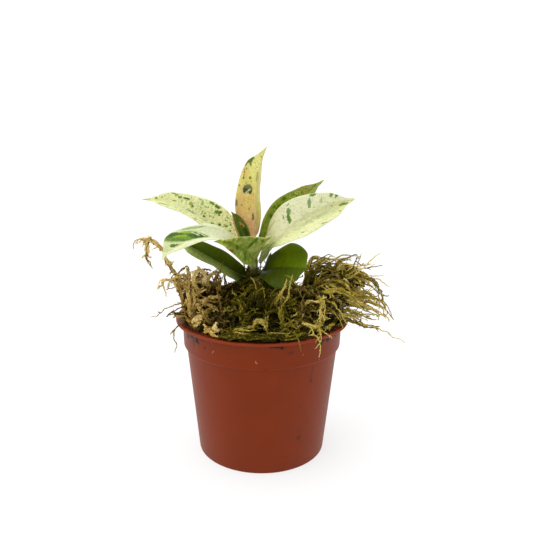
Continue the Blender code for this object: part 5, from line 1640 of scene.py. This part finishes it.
def moss_core(core):
    """The inside of a bed, which the moss finish paints nearly all in painted shade, sunk and roughened so
    that its strands lie over it.
    """
    middle = bmesh.new()
    middle.from_mesh(core)
    bmesh.ops.triangulate(middle, faces=middle.faces)
    bmesh.ops.subdivide_edges(middle, edges=middle.edges, cuts=2, use_grid_fill=True)
    middle.normal_update()
    for vertex in middle.verts:
        bump = noise.noise(vertex.co / MM * CORE_GRAIN)
        vertex.co -= vertex.normal * (CORE_DEPTH + CORE_LUMPS * bump) * MM
    return mesh_from_bmesh("moss_core", middle)


def soil_mesh():
    """The soil's body with a rough crumbly top."""
    low = FLOOR + GAP
    edge = inner_wall_radius(SOIL_EDGE_Z) - GAP
    profile = [(0.0, SOIL_MIDDLE_Z)]
    for share in [(index + 1) / SOIL_RINGS for index in range(SOIL_RINGS)]:
        profile.append((edge * share, SOIL_MIDDLE_Z + (SOIL_EDGE_Z - SOIL_MIDDLE_Z) * share ** 2))
    profile += [
        (inner_wall_radius(BAND_LOW_Z + WALL) - GAP, BAND_LOW_Z + 0.6),
        (inner_wall_radius(BAND_LOW_Z - WALL) - GAP, BAND_LOW_Z - 0.9),
        (inner_wall_radius(FLOOR) - GAP, FLOOR + 1.6), (inner_wall_radius(FLOOR) - 2.0, low), (0.0, low)]
    mesh = turned_mesh("soil", profile, 160)
    for vertex in mesh.vertices:
        place = vertex.co / MM
        if place.z > SOIL_EDGE_Z - 0.5 and math.hypot(place.x, place.y) < edge - 0.4:
            rough = SOIL_ROUGHNESS * noise.noise(place * SOIL_GRAIN)
            crumbs = 0.45 * noise.noise(place * 0.9) + 0.3 * abs(noise.noise(place * 1.9))
            vertex.co.z += (rough + crumbs) * MM
    mesh.shade_smooth()
    return mesh


def soil_finish():
    """Damp dark potting mix."""
    paint = Paint("potting_mix", linear(DAMP_MIX), Roughness=0.9, Specular_IOR_Level=0.25)
    grain = paint.noise(paint.place, 1.3, 5.0, 0.7)
    paint.coat(grain.rise(0.35, 0.7), linear(DRY_MIX))
    paint.bump(grain, 0.5)
    return paint.finish()


def grain_finish(name, dark, light):
    """Rough grains, each a little different."""
    paint = Paint(name, linear(dark), Roughness=0.88, Specular_IOR_Level=0.25)
    paint.coat(paint.noise(paint.place, 0.8, 3.0).rise(0.3, 0.7), linear(light))
    paint.bump(paint.noise(paint.place, 4.0), 0.12)
    return paint.finish()


def grain_growth():
    """Geometry tree that puts a lumpy grain on each point of a mesh, at the point's own size."""
    growth = Growth("grains", {"Roughness": "Float", "Seed": "Int", "Material": "Material"})
    given = growth.inputs
    seed = given["Seed"]
    index = growth.get("GeometryNodeInputIndex")
    size = growth.named("size")
    ball = growth.get("GeometryNodeMeshIcoSphere", {"Radius": MM, "Subdivisions": 2})
    turn = growth.joined(*(growth.random(0.0, 6.28, seed + axis, index) for axis in range(3)))
    spin = growth.get("FunctionNodeEulerToRotation", {0: turn})
    flat = size * growth.random(0.5, 0.95, seed, index)
    placed = growth.placed(given["Geometry"], ball, spin, growth.joined(size, flat, flat))
    solid = growth.get("GeometryNodeRealizeInstances", {"Geometry": placed})
    rough = growth.get("ShaderNodeVectorMath", {
        0: growth.wobble(growth.get("GeometryNodeInputPosition"), 900.0),
        "Scale": given["Roughness"]}, operation="SCALE")
    return growth.end(growth.get("GeometryNodeSetPosition", {"Geometry": solid, "Offset": rough}))


def show_grains(name, places, growth, material, seed):
    """Show grains at a list of places, each a point in millimetres with a radius."""
    points = bpy.data.meshes.new(name + "_points")
    points.from_pydata([tuple(Vector(place) * MM) for place, _ in places], [], [])
    with_attribute(points, "size", [size for _, size in places])
    show_piece(name, grown_mesh(name, points, growth, {
        "Roughness": GRAIN_ROUGHNESS * MM, "Seed": seed, "Material": material}), material, "soil")


def soil_grain_places(rng, count, low, high):
    """Places on the soil's top, with a size for each."""
    edge = inner_wall_radius(SOIL_EDGE_Z) - GAP - 1.2
    places = []
    for _ in range(count):
        radius = edge * math.sqrt(rng.uniform(0.25, 1.0))
        angle = rng.uniform(0, 2 * math.pi)
        height = SOIL_MIDDLE_Z + (SOIL_EDGE_Z - SOIL_MIDDLE_Z) * (radius / edge) ** 2
        size = rng.uniform(low, high)
        place = (radius * math.cos(angle), radius * math.sin(angle), height + size * GRAIN_RISE)
        places.append((place, size))
    return places


def rim_grain_places(rng):
    """Places of the crumbs on the rim and under it."""
    places = []
    for angle, spread, count, where in RIM_DIRT:
        for _ in range(count):
            turn = math.radians(rng.gauss(angle, spread * 0.5))
            size = rng.uniform(0.2, 0.5)
            if where == "lip":
                radius = rng.uniform(BAND_TOP_RADIUS - 0.4, RIM_RADIUS - 0.9)
                height = POT_HEIGHT + size * 0.25
            else:
                height = POT_HEIGHT - RIM_THICKNESS - abs(rng.gauss(0, 1.3)) - size
                radius = BAND_TOP_RADIUS + size * 0.25
            places.append(((radius * math.sin(turn), -radius * math.cos(turn), height), size))
    return places


class StageSettings(bpy.types.PropertyGroup):
    """Camera, floor and light."""

    lens: FloatProperty(
        name="Lens", description="Focal length on a 36 mm sensor", default=39.97, unit="CAMERA")
    floor_size: FloatProperty(
        name="Floor", description="Half width of the floor", default=6.0, unit="LENGTH")
    backdrop_strength: FloatProperty(
        name="Backdrop", description="Strength of the white light from behind and the sides",
        default=1.0)
    room_strength: FloatProperty(
        name="Room", description="Strength of the dimmer light from the camera's side", default=0.55)
    top_strength: FloatProperty(
        name="Top light", description="Strength of the wide soft light above", default=1.75)


class PotSettings(bpy.types.PropertyGroup):
    """Finish of the pot."""

    colour: FloatVectorProperty(
        name="Colour", description="Colour of the plastic as it looks on a screen", size=3,
        subtype="COLOR_GAMMA", default=(0.54, 0.19, 0.0), min=0.0, max=1.0)
    # Lip: the lighter colour of the rim's flange, a painted highlight
    lip: FloatVectorProperty(
        name="Lip", description="Colour of the lip where light comes through it", size=3,
        subtype="COLOR_GAMMA", default=(0.56, 0.22, 0.08), min=0.0, max=1.0)
    crumb_seed: IntProperty(
        name="Crumb seed", description="Draw of the crumbs on the rim", default=5)


class SoilSettings(bpy.types.PropertyGroup):
    """Grains of the potting mix."""

    crumbs: IntProperty(
        name="Crumbs", description="Number of dark crumbs on the soil", default=420)
    white_grains: IntProperty(
        name="White grains", description="Number of white grains on the soil", default=46)
    seed: IntProperty(name="Seed", description="Draw of the grains", default=8)


class LeafSettings(bpy.types.PropertyGroup):
    """Fineness and finish of the leaves."""

    rows: IntProperty(name="Rows", description="Rows along each leaf", default=110)
    columns: IntProperty(name="Columns", description="Columns across each leaf", default=35)
    vein_spacing: FloatProperty(
        name="Vein spacing", description="Distance between two side veins", default=2.3 * MM,
        unit="LENGTH", precision=5)
    roughness: FloatProperty(
        name="Roughness", description="Roughness of the waxy skin", default=0.42, min=0.0, max=1.0)


class MossSettings(bpy.types.PropertyGroup):
    """Sizes of the moss."""

    stem_radius: FloatProperty(
        name="Stem radius", description="Radius of a full strand's stem", default=0.40 * MM,
        unit="LENGTH", precision=5)
    leaflet_length: FloatProperty(
        name="Leaflet length", description="Length of a leaflet on a full strand",
        default=1.35 * MM, unit="LENGTH", precision=5)
    leaflet_width: FloatProperty(
        name="Leaflet width", description="Half width of a leaflet", default=0.42 * MM,
        unit="LENGTH", precision=5)
    leaflet_spacing: FloatProperty(
        name="Leaflet spacing", description="Distance along a stem from leaflet to leaflet",
        default=0.20 * MM, unit="LENGTH", precision=5)
    leaflet_spread: FloatProperty(
        name="Leaflet spread", description="Angle of the leaflets to their stem",
        default=math.radians(26), unit="ROTATION")
    carpet: FloatProperty(
        name="Carpet", description="Leaflets on each square metre of the bed's core",
        default=1.6e6)
    seed: IntProperty(name="Seed", description="Draw of the fine strands", default=3)


class PLANT_OT_set_stage(bpy.types.Operator):
    """Add the camera, the pale floor and the soft light"""

    bl_idname = "plant.set_stage"
    bl_label = "Set Stage"

    def execute(self, context):
        settings = context.scene.plant_stage
        camera = put("camera", bpy.data.cameras.new("camera"))
        camera.data.sensor_width = 36.0
        camera.data.lens = settings.lens
        camera.data.clip_start = 0.01
        pitch, yaw, roll = (math.radians(turn) for turn in CAMERA_TURNS)
        camera.matrix_world = (
            Matrix.Translation(Vector(CAMERA_PLACE) * MM) @ Matrix.Rotation(-yaw, 4, "Z")
            @ Matrix.Rotation(math.pi / 2 - pitch, 4, "X") @ Matrix.Rotation(roll, 4, "Z"))
        context.scene.camera = camera
        shape = bmesh.new()
        bmesh.ops.create_circle(shape, cap_ends=True, segments=96, radius=settings.floor_size)
        floor = put("floor", mesh_from_bmesh("floor", shape))
        paint = Paint("pale_floor", (0.30, 0.30, 0.30, 1.0), Roughness=0.9, Specular_IOR_Level=0.1,
                      Emission_Color=(1.0, 1.0, 1.0, 1.0), Emission_Strength=0.68)
        paint.coat(paint.noise(paint.place, 0.004), (0.33, 0.33, 0.33, 1.0))
        floor.data.materials.append(paint.finish())
        self.light_sky(context.scene, settings)
        for name, place, share, angle in SUNS:
            light = put(name, bpy.data.lights.new(name, "SUN"))
            light.data.energy = settings.top_strength * share
            light.data.angle = math.radians(angle)
            light.rotation_euler = (-Vector(place)).to_track_quat("-Z", "Y").to_euler()
        context.scene.view_settings.view_transform = "Standard"
        return {"FINISHED"}

    def light_sky(self, scene, settings):
        """White backdrop and sides, a dimmer room on the camera's side, and plain white to look at"""
        world = scene.world or bpy.data.worlds.new("sky")
        scene.world = world
        world.use_nodes = True
        sky = Tree(world.node_tree)
        _, depth, height = sky.parts(sky.get("ShaderNodeTexCoord", out="Generated"))
        level = depth.rise(-0.75, 0.35, settings.room_strength, settings.backdrop_strength)
        level = sky.sum("MAXIMUM", level, height.rise(0.35, 0.9, 0.0, settings.backdrop_strength))
        seen = sky.get("ShaderNodeLightPath", out="Is Camera Ray")
        surface = world.node_tree.nodes["Background"]
        surface.inputs["Color"].default_value = (1.0, 1.0, 1.0, 1.0)
        sky.feed(surface.inputs["Strength"], sky.sum("MAXIMUM", level, seen))


class PLANT_OT_make_pot(bpy.types.Operator):
    """Turn the pot and drop crumbs of soil on its rim"""

    bl_idname = "plant.make_pot"
    bl_label = "Make Pot"

    def execute(self, context):
        settings = context.scene.plant_pot
        show_piece("pot_shell", pot_mesh(), pot_finish(settings), "pot", "pot")
        rng = random.Random(settings.crumb_seed)
        crumb = grain_finish("rim_crumb", *RIM_CRUMB)
        show_grains("rim_crumbs", rim_grain_places(rng), grain_growth(), crumb, 4)
        return {"FINISHED"}


class PLANT_OT_fill_soil(bpy.types.Operator):
    """Fill the pot with potting mix and scatter its grains"""

    bl_idname = "plant.fill_soil"
    bl_label = "Fill Soil"

    def execute(self, context):
        settings = context.scene.plant_soil
        show_piece("soil_body", soil_mesh(), soil_finish(), "soil", "soil")
        rng = random.Random(settings.seed)
        growth = grain_growth()
        dark = grain_finish("soil_crumb", *SOIL_CRUMB)
        places = soil_grain_places(rng, settings.crumbs, 0.4, 1.3)
        show_grains("soil_crumbs", places, growth, dark, 6)
        white = grain_finish("white_grain", *WHITE_GRAIN)
        places = soil_grain_places(rng, settings.white_grains, 0.4, 0.9)
        show_grains("white_grains", places, growth, white, 9)
        return {"FINISHED"}


class PLANT_OT_raise_stem(bpy.types.Operator):
    """Raise the stem with its leaf scars"""

    bl_idname = "plant.raise_stem"
    bl_label = "Raise Stem"

    def execute(self, context):
        show_piece("stem_bark", stem_mesh(), stem_finish(), "stem", "stem")
        return {"FINISHED"}


class PLANT_OT_grow_leaves(bpy.types.Operator):
    """Grow every leaf with its own markings"""

    bl_idname = "plant.grow_leaves"
    bl_label = "Grow Leaves"

    def execute(self, context):
        settings = context.scene.plant_leaf
        for name, leaf in LEAVES.items():
            mesh, length = leaf_mesh(name, leaf, settings.rows, settings.columns)
            finish = leaf_finish(name, LEAF_LOOKS[name], length, settings)
            show_piece(name + "_blade", mesh, finish, name, name)
        return {"FINISHED"}


class PLANT_OT_lay_moss(bpy.types.Operator):
    """Lay the four beds of moss, strand by strand"""

    bl_idname = "plant.lay_moss"
    bl_label = "Lay Moss"

    def execute(self, context):
        settings = context.scene.plant_moss
        noise.seed_set(settings.seed)
        growth = strand_growth()
        cores = bed_cores()
        solid = {name: tree_of_mesh(node.data) for name, node in frame["nodes"].items()}
        plant = [tree for name, tree in solid.items() if name not in BEDS]
        grown = {name: tree_of_mesh(core) for name, core in cores.items()}
        for seed, (name, core) in enumerate(cores.items(), settings.seed):
            neighbours = [tree for other, tree in grown.items() if other != name]
            grown[name] = solid[name]
            look = MOSS_LOOKS[name]
            finish = moss_finish(name, look)
            chains = bed_strands(name, core, plant, neighbours, seed)
            middle = put("moss_core", moss_core(core))
            mesh = grown_mesh(name, chains, growth, {
                "Core": middle, "Seed": seed, "Material": finish,
                "Stem radius": settings.stem_radius, "Leaflet length": settings.leaflet_length,
                "Leaflet width": settings.leaflet_width, "Leaflet spread": settings.leaflet_spread,
                "Leaflet spacing": settings.leaflet_spacing * look["sparse"],
                "Carpet density": settings.carpet})
            bpy.data.objects.remove(middle, do_unlink=True)
            show_piece(name + "_strands", mesh, finish, name, name)
        return {"FINISHED"}


class PLANT_PT_panel(bpy.types.Panel):
    """Steps that build the plant, in order"""

    bl_label = "Potted Rubber Plant"
    bl_idname = "PLANT_PT_panel"
    bl_space_type = "VIEW_3D"
    bl_region_type = "UI"
    bl_category = "Plant"

    def draw(self, context):
        for settings, operator in STEPS:
            box = self.layout.box()
            group = getattr(context.scene, settings, None)
            for field in (group.bl_rna.properties if group else ()):
                if not field.is_readonly and field.identifier != "name":
                    box.prop(group, field.identifier)
            box.operator(operator)


STEPS = [
    ("plant_stage", "plant.set_stage"), ("plant_pot", "plant.make_pot"),
    ("plant_soil", "plant.fill_soil"), ("", "plant.raise_stem"),
    ("plant_leaf", "plant.grow_leaves"), ("plant_moss", "plant.lay_moss"),
]
GROUPS = {
    "plant_stage": StageSettings, "plant_pot": PotSettings, "plant_soil": SoilSettings,
    "plant_leaf": LeafSettings, "plant_moss": MossSettings,
}
CLASSES = [
    *GROUPS.values(), PLANT_OT_set_stage, PLANT_OT_make_pot, PLANT_OT_fill_soil,
    PLANT_OT_raise_stem, PLANT_OT_grow_leaves, PLANT_OT_lay_moss, PLANT_PT_panel,
]


def register():
    """Add the classes and their settings to Blender."""
    for kind in CLASSES:
        bpy.utils.register_class(kind)
    for name, group in GROUPS.items():
        setattr(bpy.types.Scene, name, PointerProperty(type=group))


def unregister():
    """Take the classes and their settings out of Blender."""
    for name in GROUPS:
        delattr(bpy.types.Scene, name)
    for kind in reversed(CLASSES):
        bpy.utils.unregister_class(kind)


def main():
    """Build the plant."""
    register()
    bpy.ops.plant.set_stage()
    bpy.ops.plant.make_pot()
    bpy.ops.plant.fill_soil()
    bpy.ops.plant.raise_stem()
    bpy.ops.plant.grow_leaves()
    bpy.ops.plant.lay_moss()


if __name__ == "__main__":
    main()
